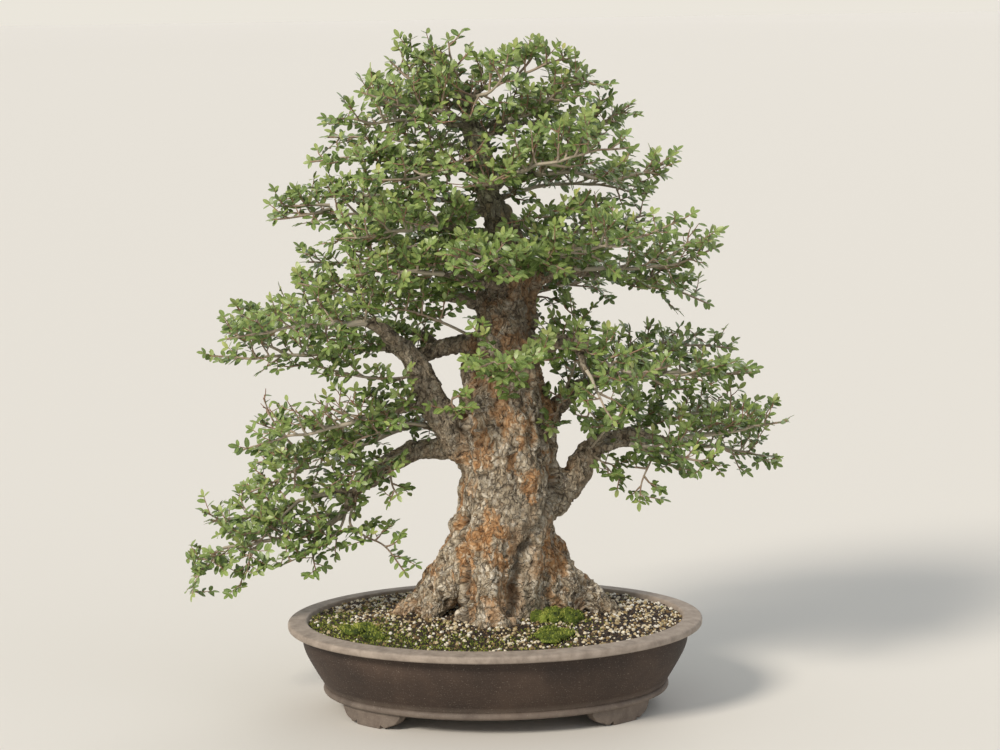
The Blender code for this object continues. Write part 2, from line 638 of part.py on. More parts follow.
def clump_mesh(name):
    """The dense inside of a spray: a lumpy, flattened loft round its twig."""
    line, facing = leafy_line(name)
    radius = LIMBS[name][1] * MM * CLUMP_FILL
    length = line_length(line)
    leafy_end = 1 - SHOOT_LENGTH / length
    shares = [0.0, 0.28, 0.72, 1.0]
    fullness = [0.0, 1.0, 0.95, 0.25]
    slim = min(1.0, 0.4 + length / 0.3)
    level = level_side(line)
    shape = bmesh.new()
    rings = []
    for share, full in zip(shares, fullness):
        place, along = line_at(line, share * leafy_end)
        if share == 0.0:
            along = facing
        if share == 1.0:
            along = (line[-1] - place).normalized()
        side, rise = side_and_rise(along, level)
        width = max(radius, CLUMP_HALF_WIDTH * full * slim)
        height = max(radius, CLUMP_HALF_HEIGHT * full * slim)
        ring = []
        for corner in range(CLUMP_SIDES):
            turn = 2 * math.pi * corner / CLUMP_SIDES + len(rings) % 2 * math.pi / CLUMP_SIDES
            point = place + side * width * math.cos(turn) + rise * height * math.sin(turn)
            if full > 0.5:
                point = place + (point - place) * (1 + CLUMP_LUMPS * noise.noise(point * 60))
            ring.append(shape.verts.new(point))
        rings.append(ring)
    for one, two in zip(rings, rings[1:]):
        for corner in range(CLUMP_SIDES):
            after = (corner + 1) % CLUMP_SIDES
            shape.faces.new((one[corner], one[after], two[after], two[corner]))
    shape.faces.new(rings[0])
    shape.faces.new(reversed(rings[-1]))
    bmesh.ops.recalc_face_normals(shape, faces=shape.faces)
    bmesh.ops.triangulate(shape, faces=shape.faces)
    mesh = bpy.data.meshes.new(name + " clump")
    shape.to_mesh(mesh)
    shape.free()
    return mesh


def leaf_outline(base, turn, side):
    """The three outer corners of a leaf: its lower edge, its tip and its upper edge."""
    along = Vector((math.cos(turn), math.sin(turn) * side, 0.0))
    across = Vector((-along.y, along.x, 0.0)) * side * LEAF_HALF_WIDTH
    middle = base + along * LEAF_LENGTH * 0.46
    return [middle + across, base + along * LEAF_LENGTH, middle - across]


def shoot_surface():
    """A shoot as one flat blade, cut in to the rib between its leaves, then arched."""
    places = {side: [Vector((-side * LEAF_PITCH / 2 - LEAF_PITCH / 2, side * RIB_HALF_WIDTH, 0.0))]
              for side in (1, -1)}
    for index in range(LEAVES_ON_SHOOT - 1):
        side = 1 if index % 2 == 0 else -1
        start = index * LEAF_PITCH
        base = Vector((start, side * RIB_HALF_WIDTH, 0.0))
        corners = leaf_outline(base, LEAF_SPLAY, side)
        notch = Vector((start + LEAF_PITCH, side * RIB_HALF_WIDTH, 0.0))
        places[side] += [*corners, notch]
    end = Vector(((LEAVES_ON_SHOOT - 1) * LEAF_PITCH, 0.0, 0.0))
    tip = leaf_outline(end, 0.0, -1)
    foot = [Vector((-SHOOT_ROOT, side * RIB_HALF_WIDTH, 0.0)) for side in (-1, 1)]
    outline = [foot[0], *places[-1], *tip, *reversed(places[1]), foot[1]]
    shape = bmesh.new()
    shape.faces.new([shape.verts.new(place) for place in outline]).normal_update()
    bmesh.ops.triangulate(shape, faces=shape.faces)
    for vertex in shape.verts:
        x, y = vertex.co.x, vertex.co.y
        vertex.co.z = -ARCH_ALONG * x * x - ARCH_ACROSS * y * y
    bmesh.ops.recalc_face_normals(shape, faces=shape.faces)
    mesh = bpy.data.meshes.new("shoot")
    shape.to_mesh(mesh)
    shape.free()
    return mesh


def thick_shoot(surface):
    """The shoot's blade at its real thickness."""
    obj = add_object("shoot", surface.copy(), None, CUTTERS)
    wall = obj.modifiers.new("wall", "SOLIDIFY")
    wall.thickness = BLADE_THICKNESS
    wall.offset = 0.0
    mesh = welded(baked(obj))
    remove([obj])
    return mesh


def tree_of(mesh, matrix=None, margin=0.0):
    """A search tree of a mesh's faces, for telling whether two pieces touch."""
    places = [matrix @ vertex.co if matrix else vertex.co.copy() for vertex in mesh.vertices]
    faces = [tuple(face.vertices) for face in mesh.polygons]
    return BVHTree.FromPolygons(places, faces, epsilon=margin)


def frame_at(place, along, normal):
    """A placement with X along a direction and Z as near to a normal as it can be."""
    along = along.normalized()
    side = normal.cross(along).normalized()
    normal = along.cross(side)
    turned = Matrix((along, side, normal)).transposed().to_4x4()
    turned.translation = place
    return turned


def leaf_facing(place, draw):
    """The way the leaves of a shoot face: up to the light and out from the trunk."""
    outward = Vector((place.x, place.y, 0.0)).normalized()
    sideways = Vector((-outward.y, outward.x, 0.0))
    return Vector((0, 0, 1)) + outward * draw.uniform(0.2, 1.6) + sideways * draw.uniform(-0.9, 0.9)


def shoot_places(name, clump_tree, draw):
    """Candidate placements of shoots on a spray, the tip first, then to all sides."""
    line, _ = leafy_line(name)
    tip_share = 1 - SHOOT_LENGTH / line_length(line)
    place, _ = line_at(line, tip_share)
    aim = (line[-1] - place).normalized()
    yield frame_at(place, aim, leaf_facing(place, draw))
    first_turn = draw.uniform(0, 2 * math.pi)
    for index in range(CANDIDATES):
        share = 0.15 + (tip_share - 0.2) * ((0.5 + index * GOLDEN_SHARE) % 1.0)
        place, along = line_at(line, share)
        side, rise = side_and_rise(along, level_side(line))
        turn = first_turn + index * SHOOT_TURN
        out = side * math.cos(turn) + rise * (0.7 * math.sin(turn) + 0.4)
        aim = (along * draw.uniform(0.2, 0.6) + out).normalized()
        surface, _, _, _ = clump_tree.ray_cast(place, aim)
        if surface is None:
            continue
        yield frame_at(surface + aim * SHOOT_STAND, aim, leaf_facing(place, draw))


def make_sprays(trunk, material):
    """Every spray: its clump with leaf shoots, clear of the wood and of each other."""
    surface = shoot_surface()
    solid = thick_shoot(surface)
    trunk_tree = tree_of(trunk.data)
    clumps = {name: clump_mesh(name) for name in LIMBS}
    clump_trees = {name: tree_of(mesh) for name, mesh in clumps.items()}
    shoots = {name: [] for name in LIMBS}
    shoot_trees = []
    for order, name in enumerate(LIMBS):
        draw = random.Random(order + 11)
        length = line_length(leafy_line(name)[0])
        wanted = max(2, round(length / SHOOT_SPACING))
        others = [tree for other, tree in clump_trees.items() if other != name]
        for placement in shoot_places(name, clump_trees[name], draw):
            if len(shoots[name]) >= wanted:
                break
            candidate = tree_of(surface, placement, SHOOT_CLEARANCE)
            obstacles = [trunk_tree, *others, *shoot_trees]
            if any(candidate.overlap(tree) for tree in obstacles):
                continue
            shoot_trees.append(candidate)
            blade = solid.copy()
            blade.transform(placement)
            shoots[name].append(blade)
    for name in LIMBS:
        joined("spray_" + name, clumps[name], shoots[name], material)


def main():
    clay = principled("unglazed clay", (0.165, 0.125, 0.098), 0.82)
    plastic = principled("screen plastic", (0.03, 0.03, 0.03), 0.5)
    earth = principled("bonsai soil", (0.075, 0.05, 0.034), 0.95)
    moss_green = principled("moss", (0.13, 0.17, 0.035), 0.95)
    bark = principled("elm bark", (0.20, 0.155, 0.115), 0.88)
    leaf = principled("elm leaf", (0.075, 0.16, 0.028), 0.5)
    make_pot(clay)
    trunk = make_trunk(bark)
    trunk_socket = inflated(trunk)
    soil = make_soil(earth)
    sockets = [trunk_socket]
    for name, values in MOSSES.items():
        moss = make_moss(name, *values, moss_green)
        cut(moss, [trunk_socket])
        sockets.append(inflated(moss))
    for side, x in (("left", -HOLE_X), ("right", HOLE_X)):
        make_screen("drain_screen_" + side, x, plastic)
        sockets.append(make_screen("screen socket", x, None, CUTTERS, GAP))
    cut(soil, sockets)
    make_sprays(trunk, leaf)


main()
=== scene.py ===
# %% [markdown]
# # An elm bonsai in its oval pot
#
# A Chinese elm is built here the way it grows: a flaking trunk on spreading roots, limbs that
# divide into ever finer twigs, and thousands of small glossy leaves in two ranks along them.
# The solid parts already exist, so the lesson starts by loading them. Every finer piece then
# takes the place of one of those solids and keeps to its room.

import json
import math
import random

import bmesh
import bpy
from mathutils import Matrix, Vector, noise
from mathutils.bvhtree import BVHTree
from mathutils.kdtree import KDTree

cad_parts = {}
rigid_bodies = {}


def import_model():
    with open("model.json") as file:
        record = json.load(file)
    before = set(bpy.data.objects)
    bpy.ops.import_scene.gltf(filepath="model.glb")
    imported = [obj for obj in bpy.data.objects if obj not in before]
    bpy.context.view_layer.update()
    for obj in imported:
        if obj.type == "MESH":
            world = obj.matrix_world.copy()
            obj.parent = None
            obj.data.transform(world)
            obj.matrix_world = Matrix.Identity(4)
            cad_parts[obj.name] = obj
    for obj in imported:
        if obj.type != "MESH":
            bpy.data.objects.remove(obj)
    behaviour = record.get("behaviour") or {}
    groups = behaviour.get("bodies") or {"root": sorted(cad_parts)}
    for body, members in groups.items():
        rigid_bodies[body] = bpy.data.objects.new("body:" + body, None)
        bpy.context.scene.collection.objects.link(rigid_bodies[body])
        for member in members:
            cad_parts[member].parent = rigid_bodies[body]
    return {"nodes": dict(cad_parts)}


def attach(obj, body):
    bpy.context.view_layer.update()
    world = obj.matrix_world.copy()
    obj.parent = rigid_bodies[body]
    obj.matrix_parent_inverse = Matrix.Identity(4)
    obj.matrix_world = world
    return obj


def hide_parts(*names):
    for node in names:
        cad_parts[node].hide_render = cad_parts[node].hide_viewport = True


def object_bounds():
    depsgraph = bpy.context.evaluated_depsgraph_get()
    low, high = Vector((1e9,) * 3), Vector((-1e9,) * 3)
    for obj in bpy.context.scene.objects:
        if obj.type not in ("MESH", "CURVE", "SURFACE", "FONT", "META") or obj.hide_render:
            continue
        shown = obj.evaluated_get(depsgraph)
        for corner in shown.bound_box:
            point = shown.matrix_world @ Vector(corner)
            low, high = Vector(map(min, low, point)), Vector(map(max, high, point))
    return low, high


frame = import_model()
CAD_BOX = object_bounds()
MM = 0.001
UP = Vector((0, 0, 1))
noise.seed_set(7)            # without this, vector noise takes its offsets from the clock
print("solid parts:", len(frame["nodes"]), "lowest", CAD_BOX[0][:], "highest", CAD_BOX[1][:])

# %% [markdown]
# ## Small helpers
#
# A few things happen again and again. A colour is written as people write it, in sRGB hex, and
# has to become linear. A node is added to a tree with its settings and its links. A material ends
# in layers of colour and a relief. A finished piece is tied to the solid that it stands for. One
# short function does each.

# %% Colours, nodes and pieces
def srgb(code):
    """A hex colour as linear red, green, blue and alpha."""
    parts = [int(code[i:i + 2], 16) / 255 for i in (1, 3, 5)]
    return (*[p / 12.92 if p <= 0.04045 else ((p + 0.055) / 1.055) ** 2.4 for p in parts], 1.0)


def plug(tree, node, inputs):
    """Fill inputs, keyed or in their order. A node stands for its first output in use."""
    for key, value in inputs.items() if isinstance(inputs, dict) else enumerate(inputs):
        if isinstance(value, bpy.types.Node):
            value = next(socket for socket in value.outputs if socket.enabled)
        if isinstance(value, bpy.types.NodeSocket):
            tree.links.new(value, node.inputs[key])
        else:
            node.inputs[key].default_value = value


def add(tree, kind, inputs=(), **settings):
    """Add a node. A plain kind is a shader node's. Stops are a ramp's places and hex colours."""
    node = tree.nodes.new(kind if "Node" in kind else "ShaderNode" + kind)
    for name, value in settings.items():
        if name == "stops":
            marks = node.color_ramp.elements
            marks[0].position, marks[0].color = value[0][0], srgb(value[0][1])
            marks[1].position, marks[1].color = value[-1][0], srgb(value[-1][1])
            for place, code in value[1:-1]:
                marks.new(place).color = srgb(code)
        else:
            setattr(node, name, value)
    plug(tree, node, inputs)
    return node


def new_material(name, roughness):
    """A Principled material and its tree. Its roughness is set on the shader's own socket."""
    material = bpy.data.materials.new(name)
    material.use_nodes = True
    tree = material.node_tree
    plug(tree, tree.nodes["Principled BSDF"], {"Roughness": roughness})
    return material, tree


def finish(material, colour, layers=(), height=None, depth=0.0, strength=1.0, invert=False):
    """Lay colours over the first one, each by its amount, and let a height raise the surface."""
    tree = material.node_tree
    for amount, code in layers:
        colour = add(tree, "Mix", {0: amount, 6: colour, 7: srgb(code)}, data_type="RGBA")
    sockets = {"Base Color": colour}
    if height:
        sockets["Normal"] = add(tree, "Bump", {
            "Height": height, "Distance": depth, "Strength": strength}, invert=invert)
    plug(tree, tree.nodes["Principled BSDF"], sockets)
    return material


print("mid grey is", round(srgb("#808080")[0], 3))

# %% Meshes and pieces
def put(name, data, material=None):
    """An object at the origin that shows a mesh, or is a lamp or a camera."""
    obj = bpy.data.objects.new(name, data)
    bpy.context.scene.collection.objects.link(obj)
    if material:
        data.materials.clear()
        data.materials.append(material)
    return obj


def mesh_of(shape, name):
    """A mesh from mesh code that is done."""
    mesh = bpy.data.meshes.new(name)
    shape.to_mesh(mesh)
    shape.free()
    return mesh


def mark(mesh, kind="FLOAT", field="value", **rows):
    """Keep a number, or a vector, for each of the mesh's points under a name."""
    for name, values in rows.items():
        mesh.attributes.new(name, kind, "POINT").data.foreach_set(field, values)


def settled(obj):
    """A plain mesh of the object as its modifiers leave it. The object itself goes."""
    graph = bpy.context.evaluated_depsgraph_get()
    mesh = bpy.data.meshes.new_from_object(obj.evaluated_get(graph))
    bpy.data.objects.remove(obj)
    return mesh


def dress(piece, slot, *nodes):
    """The piece rides on the tree's one body and stands for these solids."""
    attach(piece, "root")
    if nodes:
        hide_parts(*nodes)
    COUNTS[piece.name] = sum(len(face.vertices) - 2 for face in piece.data.polygons)
    return piece


COUNTS = {}
print("helpers ready")

# %% [markdown]
# ## Trees of geometry nodes
#
# Geometry Nodes do what repeats: they thicken twigs, strew gravel and set leaves. A tree is made
# once with named inputs, and each use only fills those in. The result is read back as a plain
# mesh, so that nothing depends on live instances.

# %% Build and bake a tree
def new_tree(name, inputs):
    """A geometry tree with a material and named inputs, given as (kind of socket, value)."""
    tree = bpy.data.node_groups.new(name, "GeometryNodeTree")
    sides = tree.interface
    for label, (kind, value) in {"Geometry": ("Geometry", None), **inputs,
                                 "Material": ("Material", None)}.items():
        socket = sides.new_socket(label, in_out="INPUT", socket_type="NodeSocket" + kind)
        if value is not None:
            socket.default_value = value
    sides.new_socket("Geometry", in_out="OUTPUT", socket_type="NodeSocketGeometry")
    return tree, add(tree, "NodeGroupInput").outputs


def close_tree(tree, given, geometry):
    """End a tree in real geometry that has its material."""
    real = add(tree, "GeometryNodeRealizeInstances", (geometry,))
    add(tree, "NodeGroupOutput", (
        add(tree, "GeometryNodeSetMaterial", {"Geometry": real, "Material": given["Material"]}),))
    return tree


def grown(mesh, tree, **values):
    """Run a geometry tree on a mesh and return the mesh that it makes."""
    obj = put("growing", mesh)
    modifier = obj.modifiers.new(tree.name, "NODES")
    modifier.node_group = tree
    for item in tree.interface.items_tree:
        key = item.name.replace(" ", "_").lower()
        if item.in_out == "INPUT" and key in values:
            modifier[item.identifier] = values[key]
    return settled(obj)


print("tree helpers ready")

# %% [markdown]
# ## Camera, floor and light
#
# The picture was taken with a long lens, a little above the middle of the tree and tilted eight
# degrees down. A long lens keeps the pot's oval and the crown in proportion. A distant broad lamp
# from the upper left models the trunk and lights the plain floor evenly out to its edge, where a
# near lamp would leave a bright pool. Two weak lamps and a pale sky open the shadows.

# %% Camera and studio
CAMERA_PLACE = Vector((0.0095, -2.7112, 0.7613))
CAMERA_PITCH = math.radians(8.22)
CAMERA_ROLL = math.radians(-0.86)
LENS = 90.0

FLOOR_HALF = 400.0
HORIZON = "#f6f1e6"
# Each lamp: where its light comes from, its breadth in degrees, its power and its colour
LAMPS = [
    ("key", (-0.60, -0.62, 0.62), 16, 2.9, "#fff5e8"),
    ("fill", (0.80, -0.45, 0.45), 50, 0.22, "#eaf1ff"),
    ("rim", (0.30, 0.80, 0.60), 40, 0.50, "#ffffff"),
]


def aim_camera():
    level = Vector((1, 0, 0))
    forward = Vector((0, math.cos(CAMERA_PITCH), -math.sin(CAMERA_PITCH)))
    upright = level.cross(forward)
    right = level * math.cos(CAMERA_ROLL) + upright * math.sin(CAMERA_ROLL)
    top = upright * math.cos(CAMERA_ROLL) - level * math.sin(CAMERA_ROLL)
    data = bpy.data.cameras.new("camera")
    data.lens = LENS
    data.sensor_width = 36.0
    camera = put("camera", data)
    turned = Matrix((right, top, -forward)).transposed().to_4x4()
    turned.translation = CAMERA_PLACE
    camera.matrix_world = turned
    bpy.context.scene.camera = camera


def add_distant_lamp(name, towards, spread, power, colour):
    data = bpy.data.lights.new(name, "SUN")
    data.angle = math.radians(spread)
    data.energy = power
    data.color = srgb(colour)[:3]
    put(name, data).rotation_euler = Vector(towards).to_track_quat("Z", "Y").to_euler()


def add_studio():
    world = bpy.data.worlds.new("air")
    world.use_nodes = True
    bpy.context.scene.world = world
    tree = world.node_tree
    rise = add(tree, "SeparateXYZ", (add(tree, "TexCoord").outputs["Generated"],))
    air = add(tree, "ValToRGB", (rise.outputs["Z"],), stops=[
        (0.0, HORIZON), (0.03, HORIZON), (0.25, "#c0c3c6")])
    plug(tree, tree.nodes["Background"], {"Color": air, "Strength": 0.9})
    for lamp in LAMPS:
        add_distant_lamp(*lamp)
    shape = bmesh.new()
    bmesh.ops.create_grid(shape, x_segments=1, y_segments=1, size=FLOOR_HALF)
    paper, tree = new_material("matte paper sweep", 0.9)
    grain = add(tree, "TexNoise", {"Scale": 1 / (300 * MM), "Detail": 3.0})
    finish(paper, add(tree, "ValToRGB", (grain,), stops=[(0.3, "#d9d6cf"), (0.7, "#dddad4")]))
    put("floor", mesh_of(shape, "floor"), paper)


aim_camera()
add_studio()
bpy.context.scene.view_settings.view_transform = "Standard"
print("camera at", CAMERA_PLACE[:], "lens", LENS)

# %% [markdown]
# ## The wood's plan
#
# The routes of the trunk, roots and limbs are listed along each piece of wood, in millimetres.
# They are the same places that the solid tree was made from, so the finer wood follows the solid
# wood exactly. Each limb also says how many of its places are bare wood.

# %% Routes of the wood
TRUNK_LINE = [(14, 4, 62, 44), (12, 6, 112, 52), (11, 6, 150, 54), (12, 6, 182, 56),
    (15, 4, 212, 56), (19, 4, 252, 55), (20, 4, 291, 53), (19, 2, 325, 47), (16, 0, 358, 40),
    (18, 0, 397, 35), (22, 0, 432, 31), (28, 0, 468, 26), (23, 0, 498, 23), (15, 0, 526, 19.5),
    (6, 0, 557, 16.5), (-2, 0, 587, 14), (-11, 0, 618, 12), (-18, 0, 646, 10), (-25, 0, 674, 8.5)]
ROOTS = {
    "front": [(-4, -12, 234, 24), (-7, -26, 195, 27), (-8, -35, 151, 27), (-9, -43, 116, 25),
        (-8, -52, 84, 15)],
    "left": [(-10, 0, 232, 26), (-30, 0, 182, 25), (-56, 0, 142, 21), (-88, 0, 112, 15),
        (-124, 0, 88, 8)],
    "left_front": [(-14, -8, 214, 22), (-36, -14, 162, 19), (-58, -18, 122, 14),
        (-82, -22, 90, 8)],
    "right": [(40, 0, 226, 20), (50, 0, 181, 20), (82, 0, 136, 18), (116, 2, 110, 13),
        (150, 4, 88, 7)],
    "right_front": [(38, -8, 189, 20), (54, -10, 146, 18), (74, -12, 118, 13), (98, -16, 90, 8)],
    "back": [(20, 20, 215, 26), (22, 45, 170, 26), (26, 70, 130, 20), (34, 96, 88, 9)],
    "back_left": [(-14, 22, 205, 22), (-36, 44, 160, 20), (-56, 64, 122, 13), (-78, 84, 88, 8)],
    "back_right": [(48, 18, 205, 20), (66, 36, 158, 18), (84, 54, 120, 12), (106, 74, 88, 7)],
}
# Burls and old wound lips on the trunk: x, y, z, radius
BURLS = [(-10, -22, 345, 23), (34, -22, 372, 20), (4, -26, 402, 19), (-12, -6, 372, 22),
    (40, -14, 330, 22), (-18, -14, 300, 24), (40, 6, 440, 15), (2, -14, 436, 19),
    (22, 26, 366, 22), (-16, 24, 322, 24), (46, 10, 262, 20), (40, 30, 296, 24),
    (30, -10, 470, 15), (42, -10, 225, 20)]
# Knuckles at the front root's foot, where it parts into toes
TOES = [(-27, -50, 104, 10), (-12, -62, 102, 10), (4, -62, 102, 10), (18, -52, 103, 9),
    (-33, -38, 108, 9)]
# Seams where roots and limbs have grown together: depth, and places along the seam
SEAMS = [
    (13, [(-32, -22, 215), (-34, -32, 192), (-35, -46, 168), (-37, -49, 141), (-36, -51, 108)]),
    (8, [(69, -9, 265), (66, -20, 239), (56, -35, 214), (43, -44, 194), (29, -46, 172),
        (22, -46, 145), (20, -48, 112)]),
    (7, [(-26, -36, 339), (-31, -28, 314), (-31, -29, 290)]),
    (5, [(46, -34, 325), (41, -45, 299), (41, -49, 272)]),
    (5, [(15, -39, 348), (9, -40, 321), (5, -42, 294)]),
]
# Limbs: radius at the trunk and at the end, how many places are bare, and the route
LIMBS = {
    "low_left_drop": (11, 3.6, 5, [(-38, -2, 292), (-89, 15, 283), (-120, 20, 265),
        (-146, 20, 244), (-164, 20, 217), (-193, 18, 196), (-232, 10, 188), (-270, 0, 186),
        (-306, -6, 178), (-327, -8, 152), (-337, -8, 122)]),
    "low_left_rise": (4, 3, 2, [(-150, 20, 238), (-183, 42, 233), (-214, 57, 223), (-247, 62, 210),
        (-287, 64, 204), (-330, 58, 196)]),
    "low_left_front": (6, 3.4, 3, [(-68, -14, 345), (-97, -32, 339), (-130, -46, 335),
        (-158, -56, 326), (-190, -62, 320), (-223, -64, 313), (-285, -58, 297)]),
    "low_left_back": (6, 3.2, 3, [(-40, -6, 302), (-72, 18, 312), (-101, 38, 306), (-140, 56, 287),
        (-178, 68, 274), (-218, 72, 266), (-280, 66, 264)]),
    "left_main": (10, 4, 4, [(-8, 0, 405), (-54, 8, 400), (-87, 14, 393), (-116, 12, 400),
        (-149, 6, 400), (-182, 0, 397), (-220, -4, 395), (-263, -6, 394), (-319, -8, 397)]),
    "left_front": (17, 4, 7, [(-20, -4, 275), (-46, -12, 312), (-67, -14, 345), (-80, -18, 377),
        (-93, -26, 402), (-110, -44, 423), (-133, -64, 437), (-161, -84, 440), (-192, -100, 439),
        (-229, -108, 435), (-290, -104, 425)]),
    "left_back": (6, 3.4, 3, [(-54, 10, 400), (-84, 36, 412), (-116, 58, 420), (-158, 82, 425),
        (-204, 98, 429), (-249, 102, 430), (-293, 96, 426)]),
    "left_upper_main": (10, 3.6, 3, [(8, 0, 446), (-24, -8, 455), (-59, -14, 460), (-93, -20, 459),
        (-130, -26, 464), (-167, -30, 469), (-217, -28, 479)]),
    "left_upper_front": (6, 3.2, 3, [(11, -12, 470), (-21, -50, 479), (-49, -80, 490),
        (-79, -104, 496), (-112, -118, 497), (-150, -126, 494)]),
    "left_upper_back": (6, 3.2, 3, [(9, 12, 470), (-22, 50, 478), (-60, 84, 484), (-106, 108, 486),
        (-158, 120, 485), (-215, 114, 486)]),
    "left_high_main": (7, 3.4, 3, [(9, 0, 518), (-27, -4, 527), (-57, -10, 539), (-91, -15, 547),
        (-125, -20, 553), (-162, -22, 550), (-233, -22, 554)]),
    "left_high_front": (5, 3, 3, [(5, -8, 526), (-24, -46, 534), (-50, -76, 539), (-85, -96, 539),
        (-119, -106, 535), (-171, -108, 530)]),
    "left_high_back": (5, 3, 3, [(3, 8, 543), (-27, 46, 552), (-61, 74, 558), (-104, 94, 561),
        (-150, 102, 560), (-218, 96, 561)]),
    "left_crown_main": (6, 3, 2, [(-3, 0, 590), (-38, -3, 600), (-67, -10, 606), (-99, -15, 612),
        (-134, -20, 613), (-206, -20, 605)]),
    "left_crown_front": (4.5, 2.8, 2, [(-5, -4, 597), (-32, -40, 597), (-59, -64, 593),
        (-91, -82, 592), (-150, -88, 591)]),
    "left_crown_back": (4.5, 2.8, 2, [(-7, 4, 611), (-40, 38, 619), (-75, 62, 623),
        (-114, 76, 626), (-190, 76, 629)]),
    "left_peak_main": (4.5, 2.6, 2, [(-14, 0, 639), (-46, -4, 647), (-77, -10, 652),
        (-109, -14, 648), (-145, -16, 652), (-178, -14, 649)]),
    "left_peak_front": (4, 2.6, 2, [(-17, -2, 650), (-40, -32, 656), (-63, -50, 661),
        (-90, -61, 668), (-147, -64, 686)]),
    "left_peak_back": (4, 2.6, 2, [(-20, 2, 659), (-46, 30, 669), (-74, 48, 675), (-104, 57, 682),
        (-133, 60, 698)]),
    "apex_left": (4, 2.4, 2, [(-24, 0, 668), (-50, 1, 680), (-70, 6, 687), (-92, 10, 700),
        (-111, 12, 720)]),
    "apex_top": (5, 2.4, 2, [(-25, 0, 670), (-31, 0, 692), (-38, -4, 715), (-42, -4, 745)]),
    "apex_right": (4, 2.4, 2, [(-22, 0, 670), (-3, -4, 683), (16, -8, 691), (35, -10, 700),
        (49, -10, 716), (58, -10, 735)]),
    "apex_front": (3.6, 2.4, 2, [(-23, -2, 668), (-10, -30, 675), (4, -50, 681), (17, -60, 698),
        (26, -62, 732)]),
    "right_peak_main": (4.5, 2.6, 3, [(-9, 0, 614), (4, -2, 633), (23, -10, 648), (46, -16, 654),
        (64, -20, 668), (81, -22, 682), (110, -22, 702)]),
    "right_peak_low": (3.6, 2.4, 2, [(5, -1, 634), (42, 9, 644), (76, 14, 639), (111, 16, 639),
        (132, 16, 646), (162, 16, 667)]),
    "right_peak_back": (4, 2.6, 2, [(-12, 4, 634), (11, 38, 646), (38, 58, 655), (69, 69, 661),
        (120, 69, 677)]),
    "right_crown_main": (6, 3, 3, [(0, 0, 575), (28, -4, 583), (57, -10, 590), (89, -12, 591),
        (123, -12, 585), (159, -12, 587), (207, -12, 606)]),
    "right_crown_front": (4.5, 2.8, 2, [(0, -6, 584), (26, -46, 593), (52, -73, 602),
        (82, -90, 611), (114, -97, 618), (160, -98, 622)]),
    "right_crown_back": (4.5, 2.8, 2, [(2, 6, 560), (34, 47, 567), (64, 74, 572), (102, 92, 569),
        (141, 98, 565), (180, 94, 556)]),
    "right_main": (10, 3.6, 3, [(28, 0, 463), (60, -2, 481), (92, -2, 486), (127, -2, 483),
        (165, -2, 485), (203, -4, 490), (256, -4, 511)]),
    "right_droop": (5, 2.8, 2, [(72, 0, 483), (121, 22, 476), (159, 31, 470), (192, 36, 461),
        (254, 38, 435)]),
    "right_front": (5, 3, 2, [(24, -10, 493), (58, -55, 502), (85, -84, 512), (118, -106, 520),
        (154, -116, 528), (206, -112, 548)]),
    "right_back": (5, 3, 2, [(20, 10, 505), (58, 55, 511), (92, 86, 517), (131, 108, 520),
        (188, 116, 537)]),
    "low_right_white": (8, 3.4, 4, [(26, -14, 392), (61, -54, 409), (91, -76, 414),
        (111, -90, 402), (133, -100, 388), (159, -108, 386), (203, -110, 396)]),
    "low_right_hang": (4, 2.8, 2, [(90, -75, 413), (101, -106, 388), (107, -120, 372),
        (116, -132, 356), (132, -138, 331)]),
    "low_right_main": (11, 3.8, 4, [(38, 10, 285), (71, 28, 329), (94, 32, 348), (127, 30, 360),
        (166, 24, 364), (210, 20, 367), (250, 18, 365), (296, 16, 366)]),
    "low_right_back": (5, 3, 2, [(108, 31, 354), (148, 64, 371), (184, 83, 381), (222, 94, 388),
        (284, 94, 381)]),
    "lowest_right_main": (16, 4, 7, [(38, 0, 200), (77, 6, 238), (96, 12, 262), (110, 14, 282),
        (129, 14, 294), (164, 14, 295), (203, 14, 292), (242, 14, 298), (280, 14, 304),
        (338, 14, 313)]),
    "lowest_right_front": (5, 3.2, 2, [(112, 12, 285), (150, -32, 296), (179, -54, 293),
        (211, -64, 286), (243, -66, 279)]),
    "lowest_right_tip": (3.4, 2.6, 2, [(176, 14, 294), (210, 42, 285), (248, 50, 278),
        (286, 50, 271), (326, 46, 264)]),
    "lowest_right_back": (5, 3.2, 2, [(124, 14, 292), (155, 64, 296), (192, 90, 301),
        (236, 102, 307), (308, 100, 315)]),
    "front_low": (4.5, 2.8, 2, [(21, -24, 397), (31, -66, 401), (28, -98, 400), (8, -134, 404),
        (-16, -180, 402)]),
    "front_mid": (4.5, 2.8, 2, [(22, -14, 488), (12, -70, 502), (0, -122, 509), (-28, -200, 506)]),
    "front_high": (4, 2.6, 2, [(0, -8, 572), (5, -54, 582), (1, -92, 588), (-14, -150, 590)]),
    "back_low": (7, 3.2, 2, [(22, 30, 300), (27, 96, 321), (24, 136, 323), (10, 201, 317)]),
    "back_middle": (6, 3, 2, [(21, 20, 405), (10, 88, 421), (6, 136, 422), (-1, 203, 416)]),
    "back_right": (5, 3, 2, [(30, 10, 446), (66, 74, 457), (95, 122, 458), (130, 182, 454)]),
    "back_left": (5, 3, 2, [(14, 12, 488), (-20, 72, 499), (-46, 118, 503), (-80, 182, 498)]),
}
THICK_LIMB = 7.5
print("limbs:", len(LIMBS), "roots:", len(ROOTS))
